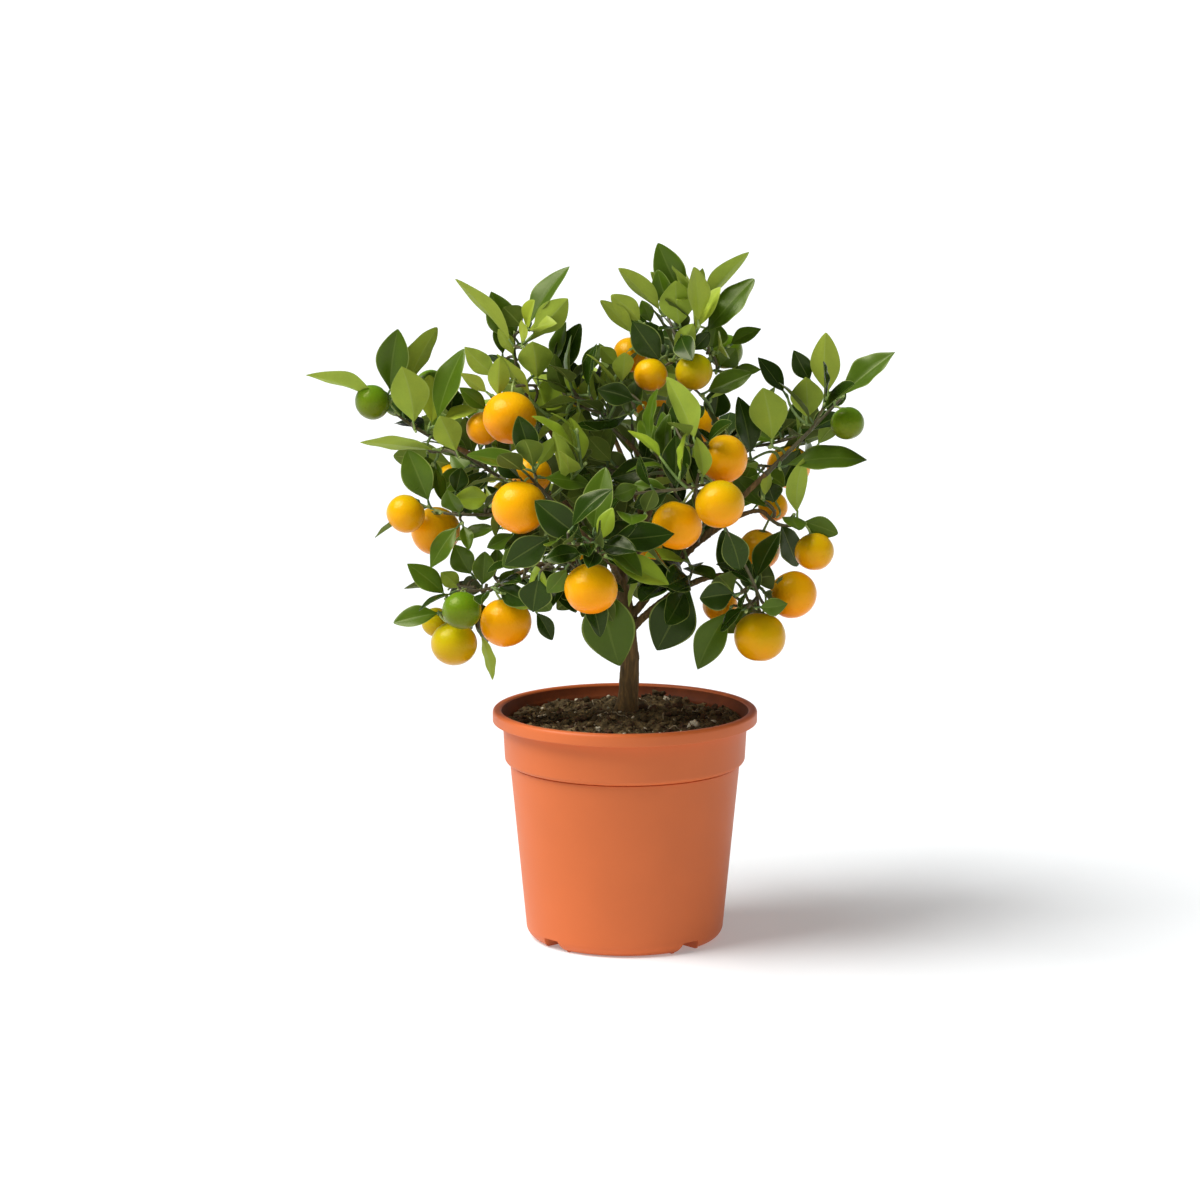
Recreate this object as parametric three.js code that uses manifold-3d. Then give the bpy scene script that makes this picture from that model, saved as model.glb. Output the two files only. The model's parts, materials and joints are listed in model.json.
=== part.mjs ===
// A calamondin orange tree in its terracotta-coloured plastic pot.
// Millimetres, +Z up. The origin is the middle of the pot's flat underside, and the front is -Y.

import * as THREE from 'three';
import { mergeVertices } from 'three/addons/utils/BufferGeometryUtils.js';
import Module from 'manifold-3d';

const wasm = await Module();
wasm.setup();

// ---------------------------------------------------------------------------------------------
// Driving dimensions
// ---------------------------------------------------------------------------------------------

// Gap that neighbouring solids keep where one is cut by, or sits on, the other.
const CLEARANCE = 0.3;

const POT = {
  height: 132,
  sides: 32,
  wall: 2.0,
  floor: 2.2,
  lipRadius: 75,
  lipDepth: 7,
  lipRound: 1.6,
  mouthRadius: 70,
  collarTopRadius: 69.3,
  collarFootRadius: 68.2,
  collarFootHeight: 102.5,
  bodyTopRadius: 65.0,
  bodyTopHeight: 98.5,
  footRadius: 56.2,
  footRound: 7.5,
};

// Four drain channels cross the foot; their sides slope, and each has a drain hole in its roof.
const CHANNEL = {
  count: 4,
  firstTurn: 41.5,
  mouthWidth: 16,
  roofWidth: 11,
  height: 5.5,
  innerRadius: 24,
  holeRadius: 3.5,
  holeAt: 38,
  holeSides: 8,
};

const SOIL = {
  sides: 16,
  rings: 4,
  edgeHeight: 125.6,
  seatHeight: 128.4,
  seatRadius: 19,
  slopeRadius: 44,
  lump: 0.8,
};

const TRUNK = {
  foot: [0.8, 9, SOIL.seatHeight + CLEARANCE],
  bend: [2.4, 8.5, 166],
  top: [-3, 6, 207],
  flareRadius: 7.4,
  flareHeight: 9,
  footRadius: 5.8,
  topRadius: 3.9,
  sides: 10,
  steps: 9,
};

// Each bough leaves its parent limb at a share of the parent's length, passes through `by` and
// ends at `tip`, where it enters its mass of foliage. `radius` is at its root and at its tip.
const BOUGH_SIDES = 6;
const BOUGH_STEPS = 4;
const BOUGHS = {
  bough_right_low: {
    parent: 'trunk', leaves: 0.60, by: [35, -3, 203], tip: [64, -15, 210], radius: [2.5, 1.4],
  },
  bough_right_middle: {
    parent: 'trunk', leaves: 0.68, by: [34, 5, 219], tip: [79, 0, 266], radius: [2.7, 1.4],
  },
  bough_top: {
    parent: 'trunk', leaves: 0.985, by: [17, 4, 255], tip: [28, 2, 308], radius: [2.9, 1.4],
  },
  bough_upper_left: {
    parent: 'trunk', leaves: 0.97, by: [-25, 5, 259], tip: [-52, 0, 306], radius: [2.8, 1.4],
  },
  bough_left_arm: {
    parent: 'bough_upper_left', leaves: 0.30, by: [-58, 9, 262], tip: [-101, 10, 282], radius: [2.0, 1.2],
  },
  bough_left_middle: {
    parent: 'bough_upper_left', leaves: 0.20, by: [-44, 0, 240], tip: [-72, -6, 244], radius: [1.8, 1.1],
  },
  bough_left_low: {
    parent: 'trunk', leaves: 0.90, by: [-31, -5, 217], tip: [-66, -15, 208], radius: [2.0, 1.2],
  },
  bough_front: {
    parent: 'trunk', leaves: 0.95, by: [-11, -32, 226], tip: [-15, -66, 233], radius: [2.0, 1.2],
  },
  bough_front_left: {
    parent: 'bough_upper_left', leaves: 0.07, by: [-24, -24, 236], tip: [-39, -50, 257], radius: [1.9, 1.2],
  },
  bough_front_right: {
    parent: 'bough_right_middle', leaves: 0.30, by: [38, -18, 236], tip: [40, -42, 254], radius: [1.8, 1.1],
  },
  bough_right_out: {
    parent: 'bough_right_middle', leaves: 0.55, by: [66, 5, 242], tip: [80, 4, 242], radius: [1.6, 1.1],
  },
  bough_centre: {
    parent: 'bough_top', leaves: 0.45, by: [10, -10, 273], tip: [0, -20, 288], radius: [1.7, 1.1],
  },
  bough_back_left: {
    parent: 'bough_upper_left', leaves: 0.12, by: [-38, 38, 236], tip: [-68, 66, 252], radius: [2.2, 1.2],
  },
  bough_back_right: {
    parent: 'bough_top', leaves: 0.10, by: [30, 42, 236], tip: [58, 70, 258], radius: [2.2, 1.2],
  },
  bough_back_high: {
    parent: 'bough_top', leaves: 0.32, by: [2, 30, 262], tip: [-8, 50, 284], radius: [2.0, 1.2],
  },
  bough_back_low: {
    parent: 'trunk', leaves: 0.86, by: [-4, 46, 208], tip: [-6, 78, 210], radius: [2.0, 1.2],
  },
};

// `width` and `thickAt`, `wideAt` and `nearRoot` are shares of a leaf's length. A pair holds the
// least and the greatest value, or the values at a twig's root and at its tip. Angles are degrees.
const LEAF = {
  length: 38,
  lengths: [0.78, 1.12],
  width: 0.47,
  widths: [0.85, 1.12],
  thickness: 0.6,
  thickAt: 0.42,
  wideAt: 0.48,
  kiteGain: 1.18,
  fold: 0.28,
  curls: [0.1, 0.7],
  sunk: 0.3,
  spacing: 12.5,
  turn: 137.5,
  turnSpread: 30,
  tilts: [66, 22],
  tiltSpread: 16,
  twistSpread: 90,
  sky: 0.9,
  nearRoot: 0.24,
};

// Leaves low in the crown hang, and those high in it stand up.
const LIFT = { lowHeight: 170, low: -0.45, highHeight: 310, high: 0.3 };

// Leaves that reach the crown's outline: `reach` is how far a twig may be from a leaf's length away.
const LEAD = { lengths: [0.92, 1.1], widths: [0.8, 1.05], curls: [0.1, 0.35], reach: 0.2 };

// `stretch` is the length of one straight stretch of a twig, and `rise` how far a shoot's tip turns
// up as a share of its length. Stalks and outline leaves leave a twig at set shares of its length.
const TWIG = {
  sides: 3,
  tipRadius: 0.7,
  shootRadius: 0.95,
  stalkRadius: 0.75,
  stalk: 7,
  stretch: 24,
  mostSteps: 3,
  bend: 0.5,
  rise: 0.16,
  stalkShares: [0.25, 0.41, 0.57, 0.73, 0.89],
  leadShares: [0.33, 0.49, 0.65, 0.81, 0.97],
};

const FRUIT = { around: 8, down: 4, flattening: 0.95 };

// Side shoots leave the stem between two shares of its length. `bare` is the share of a shoot, a
// lead or a stem that has no leaves.
const SHOOT = {
  from: 0.12,
  to: 0.9,
  offs: [72, 44],
  offSpread: 16,
  lengths: [0.75, 1.25],
  shrinks: [1.1, 0.8],
  bare: { shoot: 0.4, lead: 0.35, stem: 0.3 },
};

// A fruit hangs from `sunk` of its radius above its centre.
const FRUIT_HANG = { sunk: 0.8, along: 0.4 };

// Distance between the sample points that hold a limb's or a twig's room, and the shares of a
// leaf's length and half width, and of a shoot's length, at which it is tried.
const SAMPLE = {
  limb: 2,
  twig: 3,
  leafShares: [0.3, 0.5, 0.7, 0.88],
  leafAcross: [-0.9, -0.3, 0.3, 0.9],
  shootShares: [0.35, 0.5, 0.65, 0.8, 1],
};

// Clear room that a leaf or twig keeps to what is there already, measured between sample points.
const ROOM = {
  limb: 1.4,
  twig: 2.6,
  fruit: 1.6,
  leaf: 4.6,
  ownLeaf: 3.2,
};

// Each mass of foliage grows from its bough's tip: `head` is where its stem ends, `shoots` is how
// many side shoots the seeded rule tries and `spread` their mean length. `space` is the rounded
// room that its shoots and leaves keep to. `tips` are the leaf tips that give the crown its
// outline: a place, and how far the leaf's upper face turns to the front, from -1 to 1. `fruits`
// are the centre and diameter of each fruit.
const MASSES = {
  foliage_top: {
    bough: 'bough_top', head: [31, 2, 350], shoots: 7, spread: 28, seed: 101,
    space: { centre: [33, 2, 346], radii: [44, 42, 50] },
    tips: [
      [18, 5, 395, 0.7], [68, 0, 390, -0.3], [71, -15, 376, 0.6], [-3, 0, 381, -0.6], [-12, 10, 364, -0.6],
      [30, -28, 378, -1], [76, 25, 346, -0.2], [4, -22, 354, 0.3], [77, 10, 324, 0.5],
    ],
    fruits: [[14, -15, 324, 19], [38, -18, 326, 21], [3, 20, 331, 20], [57, 35, 331, 20]],
  },
  foliage_upper_left: {
    bough: 'bough_upper_left', head: [-62, 0, 344], shoots: 7, spread: 28, seed: 202,
    space: { centre: [-56, 0, 334], radii: [40, 40, 47] },
    tips: [
      [-94, 0, 375, -0.5], [-77, 10, 369, 0.3], [-33, 0, 383, 0.3], [-31, -8, 364, -0.9],
      [-25, 12, 349, 0.6], [-50, -26, 344, -1], [-90, 2, 336, -0.6],
    ],
    fruits: [[-64, -30, 302, 30], [-80, 6, 291, 19]],
  },
  foliage_left_arm: {
    bough: 'bough_left_arm', head: [-130, 8, 300], shoots: 6, spread: 26, seed: 303,
    space: { centre: [-126, 8, 310], radii: [48, 36, 34] },
    tips: [
      [-179, 0, 322, -0.5], [-131, 8, 347, 0.8], [-106, 14, 346, -0.4], [-91, 8, 335, -0.2],
      [-150, -5, 285, -0.6], [-124, -14, 331, -1], [-102, -16, 300, -1],
    ],
    fruits: [[-142, 5, 306, 20], [-110, 25, 313, 18]],
  },
  foliage_left_middle: {
    bough: 'bough_left_middle', head: [-104, -6, 245], shoots: 6, spread: 26, seed: 404,
    space: { centre: [-104, 0, 246], radii: [36, 40, 42] },
    tips: [[-122, -4, 280, 0.9], [-141, -2, 230, -0.3], [-109, -18, 216, 0.2]],
    fruits: [[-123, -10, 245, 22], [-107, 10, 232, 28]],
  },
  foliage_left_low: {
    bough: 'bough_left_low', head: [-92, -18, 203], shoots: 6, spread: 26, seed: 505,
    space: { centre: [-84, -18, 200], radii: [46, 40, 38] },
    tips: [
      [-122, -12, 215, 0.7], [-129, -15, 185, 0.4], [-74, -12, 150, -0.1], [-41, -10, 173, 0.3],
      [-97, -16, 229, 0.8], [-72, -14, 224, 0.3],
    ],
    fruits: [[-91, -38, 195, 22], [-96, -20, 173, 26], [-67, -20, 185, 29], [-107, 8, 180, 17]],
  },
  foliage_front_left: {
    bough: 'bough_front_left', head: [-54, -68, 276], shoots: 7, spread: 28, seed: 606,
    space: { centre: [-50, -60, 268], radii: [44, 40, 46] },
    tips: [[-87, -68, 288, 0.6], [-58, -72, 310, 0.8], [-32, -60, 299, -0.3], [-66, -60, 224, 0.8]],
    fruits: [[-58, -76, 259, 30], [-52, -42, 272, 22]],
  },
  foliage_front_centre: {
    bough: 'bough_front', head: [-16, -92, 243], shoots: 6, spread: 26, seed: 707,
    space: { centre: [-12, -88, 246], radii: [46, 38, 38] },
    tips: [
      [-14, -82, 281, 0.9], [-8, -100, 263, -0.5], [26, -95, 249, 0.8], [23, -100, 221, 0.7],
      [-50, -92, 265, 0.9], [-44, -104, 233, 0.5],
    ],
    fruits: [[-19, -94, 217, 29]],
  },
  foliage_front_right: {
    bough: 'bough_front_right', head: [40, -60, 276], shoots: 7, spread: 28, seed: 808,
    space: { centre: [42, -56, 284], radii: [44, 42, 48] },
    tips: [[21, -52, 335, -0.8], [4, -70, 264, 0.7], [19, -66, 305, 0.9], [41, -84, 299, -0.9]],
    fruits: [[54, -52, 282, 27], [51, -78, 261, 27], [28, -58, 246, 28]],
  },
  foliage_centre: {
    bough: 'bough_centre', head: [-20, -24, 314], shoots: 8, spread: 30, seed: 909,
    space: { centre: [-22, -18, 312], radii: [46, 44, 44] },
    tips: [[-12, -30, 321, 0.8], [-14, -6, 324, -0.3], [-7, -55, 298, 0.7]],
    fruits: [],
  },
  foliage_heart: {
    bough: 'bough_centre', from: 0.55, head: [-18, -10, 262], shoots: 5, spread: 24, seed: 929,
    space: { centre: [-12, -8, 264], radii: [40, 34, 36] },
    tips: [[-32, -22, 292, 0.7], [18, -24, 276, 0.6]],
    fruits: [],
  },
  foliage_right_arm: {
    bough: 'bough_right_middle', head: [121, -2, 309], shoots: 6, spread: 26, seed: 111,
    space: { centre: [108, 0, 306], radii: [46, 38, 36] },
    tips: [
      [150, -5, 336, 0.3], [113, -2, 345, -1], [95, 8, 335, 0.5], [99, -12, 322, -1],
      [79, -12, 317, -0.9], [76, 12, 329, 0.4], [65, 16, 306, 0.6], [135, -8, 276, 0.4],
    ],
    fruits: [[124, -9, 296, 19]],
  },
  foliage_right_middle: {
    bough: 'bough_right_out', head: [101, -4, 239], shoots: 6, spread: 28, seed: 222,
    space: { centre: [88, 2, 242], radii: [38, 40, 40] },
    tips: [[118, -5, 235, 0.3], [105, -5, 274, -0.3]],
    fruits: [[106, -13, 224, 22], [84, 22, 244, 17], [76, 12, 221, 24]],
  },
  foliage_right_low: {
    bough: 'bough_right_low', head: [80, -22, 200], shoots: 6, spread: 26, seed: 333,
    space: { centre: [68, -20, 200], radii: [46, 42, 38] },
    tips: [
      [41, -26, 161, 0.8], [88, -10, 236, 0.6], [55, -16, 237, 0.9], [91, -38, 201, 0.8],
      [40, -34, 202, 0.8],
    ],
    fruits: [[94, -16, 200, 27], [75, -32, 179, 29], [54, 12, 189, 20]],
  },
  foliage_low_centre: {
    bough: 'bough_left_low', from: 0.45, head: [-34, -34, 214], shoots: 4, spread: 24, seed: 444,
    space: { centre: [-38, -30, 216], radii: [42, 36, 46] },
    tips: [[-1, -26, 163, 1, 1.35]],
    fruits: [],
  },
  foliage_low_right: {
    bough: 'bough_right_low', from: 0.5, head: [34, -16, 204], shoots: 4, spread: 24, seed: 454,
    space: { centre: [32, -20, 208], radii: [36, 36, 42] },
    tips: [[21, -20, 169, 1, 1.25]],
    fruits: [],
  },
  foliage_back_left: {
    bough: 'bough_back_left', head: [-94, 86, 266], shoots: 8, spread: 34, seed: 555,
    space: { centre: [-88, 82, 264], radii: [48, 46, 44] },
    tips: [[-135, 100, 262, 0], [-100, 118, 304, 0]],
    fruits: [[-98, 104, 246, 26], [-66, 92, 236, 28]],
  },
  foliage_back_right: {
    bough: 'bough_back_right', head: [80, 88, 272], shoots: 7, spread: 34, seed: 666,
    space: { centre: [80, 86, 270], radii: [50, 50, 46] },
    tips: [[122, 100, 276, 0], [84, 116, 306, 0]],
    fruits: [[96, 96, 256, 26], [62, 104, 252, 28], [45, 72, 284, 22]],
  },
  foliage_back_high: {
    bough: 'bough_back_high', head: [-6, 70, 304], shoots: 8, spread: 32, seed: 777,
    space: { centre: [-4, 66, 300], radii: [50, 46, 44] },
    tips: [[-14, 100, 318, 0], [34, 84, 330, 0]],
    fruits: [[-30, 84, 300, 22], [16, 92, 296, 27]],
  },
  foliage_back_low: {
    bough: 'bough_back_low', head: [-10, 108, 222], shoots: 7, spread: 32, seed: 888,
    space: { centre: [-10, 100, 216], radii: [52, 40, 46] },
    tips: [[-14, 136, 250, 0], [-52, 112, 196, 0]],
    fruits: [[-22, 118, 200, 27], [16, 114, 206, 25]],
  },
};

// Finish of each kind of sub-part: colour, roughness and metalness.
const FINISHES = {
  pot: { color: 0xd0693d, roughness: 0.5, metalness: 0 },
  soil: { color: 0x3a2a1e, roughness: 1, metalness: 0 },
  bark: { color: 0x564028, roughness: 0.9, metalness: 0 },
  foliage: { color: 0x3f6a2c, roughness: 0.45, metalness: 0 },
};

// ---------------------------------------------------------------------------------------------
// Small helpers
// ---------------------------------------------------------------------------------------------

const UP = new THREE.Vector3(0, 0, 1);
const FRONT = new THREE.Vector3(0, -1, 0);
const radians = THREE.MathUtils.degToRad;
const mix = THREE.MathUtils.lerp;
const between = ([first, last], share) => mix(first, last, share);
const place = ([x, y, z]) => new THREE.Vector3(x, y, z);
const blend = (a, b, share) => a.clone().lerp(b, share);

// Seeded dice: each roll lies between 0 and 1.
function dice(seed) {
  const factor = 48271;
  const size = 2147483647;
  let state = seed;
  return () => {
    state = (state * factor) % size;
    return state / size;
  };
}

function toSolid(geometry) {
  geometry.deleteAttribute('normal');
  geometry.deleteAttribute('uv');
  const merged = mergeVertices(geometry, 1e-4);
  const vertProperties = new Float32Array(merged.attributes.position.array);
  const triVerts = new Uint32Array(merged.index.array);
  return new wasm.Manifold(new wasm.Mesh({ numProp: 3, vertProperties, triVerts }));
}

function toGeometry(solid) {
  const mesh = solid.getMesh();
  const geometry = new THREE.BufferGeometry();
  geometry.setAttribute('position', new THREE.BufferAttribute(new Float32Array(mesh.vertProperties), 3));
  geometry.setIndex(new THREE.BufferAttribute(new Uint32Array(mesh.triVerts), 1));
  geometry.computeVertexNormals();
  return geometry;
}

// The largest body of a solid; scraps and sealed hollows are dropped.
function largestBody(solid) {
  const bodies = solid.decompose();
  return bodies.reduce((best, body) => (body.volume() > best.volume() ? body : best));
}

function bendVertices(geometry, bend) {
  const position = geometry.attributes.position;
  const point = new THREE.Vector3();
  for (let i = 0; i < position.count; i += 1) {
    point.fromBufferAttribute(position, i);
    const bent = bend(point);
    position.setXYZ(i, bent.x, bent.y, bent.z);
  }
  return geometry;
}

// Two directions square to `way`; together with it they make a right-handed set.
function squareTo(way) {
  const reference = Math.abs(way.z) > 0.94 ? new THREE.Vector3(0, -1, 0) : UP;
  const lift = reference.clone().addScaledVector(way, -reference.dot(way)).normalize();
  const side = way.clone().cross(lift).normalize();
  return { lift, side };
}

// ---------------------------------------------------------------------------------------------
// Pot
// ---------------------------------------------------------------------------------------------

function arcPoints(centreX, centreZ, radius, fromTurn, toTurn, steps) {
  const points = [];
  for (let i = 0; i <= steps; i += 1) {
    const turn = radians(mix(fromTurn, toTurn, i / steps));
    points.push([centreX + radius * Math.cos(turn), centreZ + radius * Math.sin(turn)]);
  }
  return points;
}

// Inner face of the pot from its floor up to the mouth, as [radius, height] pairs.
function potInside() {
  const lipFoot = POT.height - POT.lipDepth;
  return [
    [POT.footRadius - POT.footRound, POT.floor],
    [POT.footRadius - POT.wall, POT.footRound + POT.floor],
    [POT.bodyTopRadius - POT.wall, POT.bodyTopHeight + POT.wall / 2],
    [POT.collarTopRadius - POT.wall, lipFoot],
    [POT.mouthRadius - POT.lipRound / 2, POT.height - 3 * POT.lipRound],
  ];
}

function potProfile() {
  const lipFoot = POT.height - POT.lipDepth;
  const round = POT.lipRound;
  const outside = [
    [0, 0],
    ...arcPoints(POT.footRadius - POT.footRound, POT.footRound, POT.footRound, -90, 0, 2),
    [POT.bodyTopRadius, POT.bodyTopHeight],
    [POT.collarFootRadius, POT.collarFootHeight],
    [POT.collarTopRadius, lipFoot],
    ...arcPoints(POT.lipRadius - round, lipFoot + round, round, -90, 0, 1),
    ...arcPoints(POT.lipRadius - 2 * round, POT.height - 2 * round, 2 * round, 0, 90, 2),
    ...arcPoints(POT.mouthRadius + round, POT.height - round, round, 90, 180, 1),
  ];
  return [...outside, ...potInside().reverse(), [0, POT.floor]];
}

function lathe(profile, sides) {
  return new THREE.LatheGeometry(profile.map(([radius, height]) => new THREE.Vector2(radius, height)), sides)
    .rotateX(Math.PI / 2);
}

// A bar of trapezium section that runs outwards from the axis, flat side down.
function radialBar(mouthWidth, roofWidth, height, fromRadius, toRadius, turn) {
  const section = new THREE.Shape();
  section.moveTo(-mouthWidth / 2, 0);
  section.lineTo(mouthWidth / 2, 0);
  section.lineTo(roofWidth / 2, height);
  section.lineTo(-roofWidth / 2, height);
  section.closePath();
  return new THREE.ExtrudeGeometry(section, { depth: toRadius - fromRadius, bevelEnabled: false })
    .rotateX(Math.PI / 2)
    .translate(0, -fromRadius, 0)
    .rotateZ(radians(turn));
}

function potGeometry() {
  let pot = toSolid(lathe(potProfile(), POT.sides));
  const roofHeight = CHANNEL.height + POT.floor;
  const below = 1;
  const slope = (CHANNEL.mouthWidth - CHANNEL.roofWidth) / CHANNEL.height;
  for (let i = 0; i < CHANNEL.count; i += 1) {
    const turn = CHANNEL.firstTurn + i * 360 / CHANNEL.count;
    const innerEnd = CHANNEL.innerRadius - POT.wall;
    const outerEnd = POT.footRadius - POT.footRound + POT.wall;
    const roof = radialBar(
      CHANNEL.mouthWidth + 2 * POT.wall, CHANNEL.roofWidth + 2 * POT.wall,
      roofHeight, innerEnd, outerEnd, turn);
    pot = pot.add(toSolid(roof));
  }
  for (let i = 0; i < CHANNEL.count; i += 1) {
    const turn = CHANNEL.firstTurn + i * 360 / CHANNEL.count;
    const hollow = radialBar(
      CHANNEL.mouthWidth + slope * below, CHANNEL.roofWidth,
      CHANNEL.height + below, CHANNEL.innerRadius, POT.footRadius + POT.wall, turn).translate(0, 0, -below);
    const { holeRadius, holeSides } = CHANNEL;
    const hole = new THREE.CylinderGeometry(holeRadius, holeRadius, 2 * roofHeight, holeSides)
      .rotateX(Math.PI / 2)
      .translate(0, -CHANNEL.holeAt, roofHeight)
      .rotateZ(radians(turn));
    pot = pot.subtract(toSolid(hollow)).subtract(toSolid(hole));
  }
  return toGeometry(largestBody(pot));
}

// ---------------------------------------------------------------------------------------------
// Soil
// ---------------------------------------------------------------------------------------------

// Height of the soil's surface: a flat seat round the trunk that slopes to a lumpy edge.
function soilHeight(x, y) {
  const away = Math.hypot(x - TRUNK.foot[0], y - TRUNK.foot[1]);
  const slope = THREE.MathUtils.smoothstep(away, SOIL.seatRadius, SOIL.slopeRadius);
  const lumps = Math.sin(x * 0.21 + 1.3) * Math.cos(y * 0.17) + 0.6 * Math.sin(x * 0.43 - y * 0.31);
  return mix(SOIL.seatHeight, SOIL.edgeHeight + SOIL.lump * lumps, slope);
}

function soilGeometry() {
  const roof = CHANNEL.height + POT.floor + CLEARANCE;
  const side = potInside().filter(([, height]) => height > roof && height < SOIL.edgeHeight);
  const inset = side.map(([radius, height]) => [radius - CLEARANCE, height]);
  const edgeRadius = inset.at(-1)[0];
  const profile = [[0, roof], [inset[0][0] - POT.wall, roof], ...inset];
  for (let i = 0; i <= SOIL.rings; i += 1) {
    profile.push([edgeRadius * (1 - i / SOIL.rings), SOIL.edgeHeight]);
  }
  const geometry = lathe(profile, SOIL.sides);
  return bendVertices(geometry, (point) => {
    const onTop = point.z > SOIL.edgeHeight - CLEARANCE / 10;
    return onTop ? point.clone().setZ(soilHeight(point.x, point.y)) : point;
  });
}

// ---------------------------------------------------------------------------------------------
// Limbs: trunk, boughs and twigs
// ---------------------------------------------------------------------------------------------

// A curve that starts at `from`, passes near its middle through `by` and ends at `to`.
function curveThrough(from, by, to) {
  const pull = by.clone().multiplyScalar(2).addScaledVector(from, -0.5).addScaledVector(to, -0.5);
  return new THREE.QuadraticBezierCurve3(from, pull, to);
}

// A limb follows a curve from joint to joint, straight between them.
function limbAlong(curve, steps, radiusAt) {
  const joints = curve.getPoints(steps);
  let length = 0;
  for (let i = 0; i < steps; i += 1) {
    length += joints[i].distanceTo(joints[i + 1]);
  }
  const pointAt = (share) => {
    const before = Math.min(Math.floor(share * steps), steps - 1);
    return blend(joints[before], joints[before + 1], share * steps - before);
  };
  return { pointAt, wayAt: (share) => curve.getTangent(share), length, steps, radiusAt };
}

// Directions square to a limb at each joint, carried along it without a twist.
function limbFrames(limb) {
  const frames = [squareTo(limb.wayAt(0))];
  for (let i = 1; i <= limb.steps; i += 1) {
    const way = limb.wayAt(i / limb.steps);
    const last = frames[i - 1].lift;
    const lift = last.clone().addScaledVector(way, -last.dot(way)).normalize();
    frames.push({ lift, side: way.clone().cross(lift) });
  }
  return frames;
}

// The round shape of a limb, with `grow` added to its radius.
function limbGeometry(limb, sides, grow = 0) {
  const geometry = new THREE.CylinderGeometry(1, 1, 1, sides, limb.steps);
  const frames = limbFrames(limb);
  return bendVertices(geometry, (point) => {
    const share = point.y + 0.5;
    const { lift, side } = frames[Math.round(share * limb.steps)];
    const radius = limb.radiusAt(share) + grow;
    return limb.pointAt(share)
      .addScaledVector(lift, point.z * radius)
      .addScaledVector(side, point.x * radius);
  });
}

function limbSolid(limb, grow) {
  return toSolid(limbGeometry(limb, limb.sides, grow));
}

// What is left of a solid outside `room`, as one body.
function cutClear(solid, room) {
  return largestBody(room.reduce((left, taken) => left.subtract(taken), solid));
}

function trunkLimb() {
  const curve = curveThrough(place(TRUNK.foot), place(TRUNK.bend), place(TRUNK.top));
  const height = TRUNK.top[2] - TRUNK.foot[2];
  const radiusAt = (share) => {
    const flare = Math.exp(-share * height / TRUNK.flareHeight * 2);
    return mix(TRUNK.footRadius, TRUNK.topRadius, share) + (TRUNK.flareRadius - TRUNK.footRadius) * flare;
  };
  return { name: 'trunk', sides: TRUNK.sides, ...limbAlong(curve, TRUNK.steps, radiusAt) };
}

function boughLimb(name, bough, parent) {
  const root = parent.pointAt(bough.leaves);
  const curve = curveThrough(root, place(bough.by), place(bough.tip));
  const radiusAt = (share) => mix(bough.radius[0], bough.radius[1], Math.sqrt(share));
  return { name, parent, sides: BOUGH_SIDES, ...limbAlong(curve, BOUGH_STEPS, radiusAt) };
}

function growLimbs() {
  const limbs = { trunk: trunkLimb() };
  for (const [name, bough] of Object.entries(BOUGHS)) {
    limbs[name] = boughLimb(name, bough, limbs[bough.parent]);
  }
  return limbs;
}

function trunkGeometry(trunk) {
  const geometry = limbGeometry(trunk, trunk.sides);
  const foot = TRUNK.foot[2];
  const flat = (TRUNK.top[2] - foot) / TRUNK.steps / 2;
  return bendVertices(geometry, (point) => (point.z < foot + flat ? point.clone().setZ(foot) : point));
}

// ---------------------------------------------------------------------------------------------
// Rule of growth
// ---------------------------------------------------------------------------------------------

// Everything that has taken its room, as sample points with a radius.
const held = [];

function hold(kind, mass, point, radius) {
  held.push({ kind, mass, x: point.x, y: point.y, z: point.z, radius });
}

function holdLimb(kind, mass, limb, spacing) {
  const steps = Math.ceil(limb.length / spacing);
  for (let i = 0; i <= steps; i += 1) {
    hold(kind, mass, limb.pointAt(i / steps), limb.radiusAt(i / steps));
  }
}

// Room that a point of a leaf or twig of `mass` needs to a thing already there.
function roomTo(thing, mass) {
  if (thing.kind === 'leaf') {
    return thing.mass === mass ? ROOM.ownLeaf : ROOM.leaf;
  }
  if (thing.kind === 'twig' && thing.mass === mass) {
    return thing.radius + ROOM.limb;
  }
  return thing.radius + ROOM[thing.kind];
}

function isClear(points, mass, skips = () => false) {
  return points.every((point) => held.every((thing) => {
    const need = roomTo(thing, mass);
    const dx = thing.x - point.x;
    const dy = thing.y - point.y;
    const dz = thing.z - point.z;
    return skips(thing, point) || dx * dx + dy * dy + dz * dz > need * need;
  }));
}

function inSpace({ space }, point) {
  return point.clone().sub(place(space.centre)).divide(place(space.radii)).length() < 1;
}

// Half of a leaf's width at a share of its length, as a share of its greatest half width.
function leafShape(share) {
  return Math.sin(Math.PI * Math.pow(share, 0.92)) ** 0.75;
}

// A point of the leaf's middle surface: `share` runs along it and `across` from -1 to 1.
function leafPoint(leaf, share, across) {
  const half = 0.5 * leaf.width * (share > 0 && share < 1 ? leafShape(share) : 0);
  const ahead = leaf.length * share * (1 - leaf.curl * leaf.curl * share * share / 6);
  const drop = 0.5 * leaf.curl * share * share * leaf.length;
  return leaf.root.clone()
    .addScaledVector(leaf.along, ahead)
    .addScaledVector(leaf.side, across * half)
    .addScaledVector(leaf.face, LEAF.fold * Math.abs(across) * half - drop);
}

function leafSamples(leaf) {
  const samples = [];
  for (const share of SAMPLE.leafShares) {
    for (const across of SAMPLE.leafAcross) {
      samples.push(leafPoint(leaf, share, across));
    }
  }
  samples.push(leafPoint(leaf, 1, 0));
  return samples;
}

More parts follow.
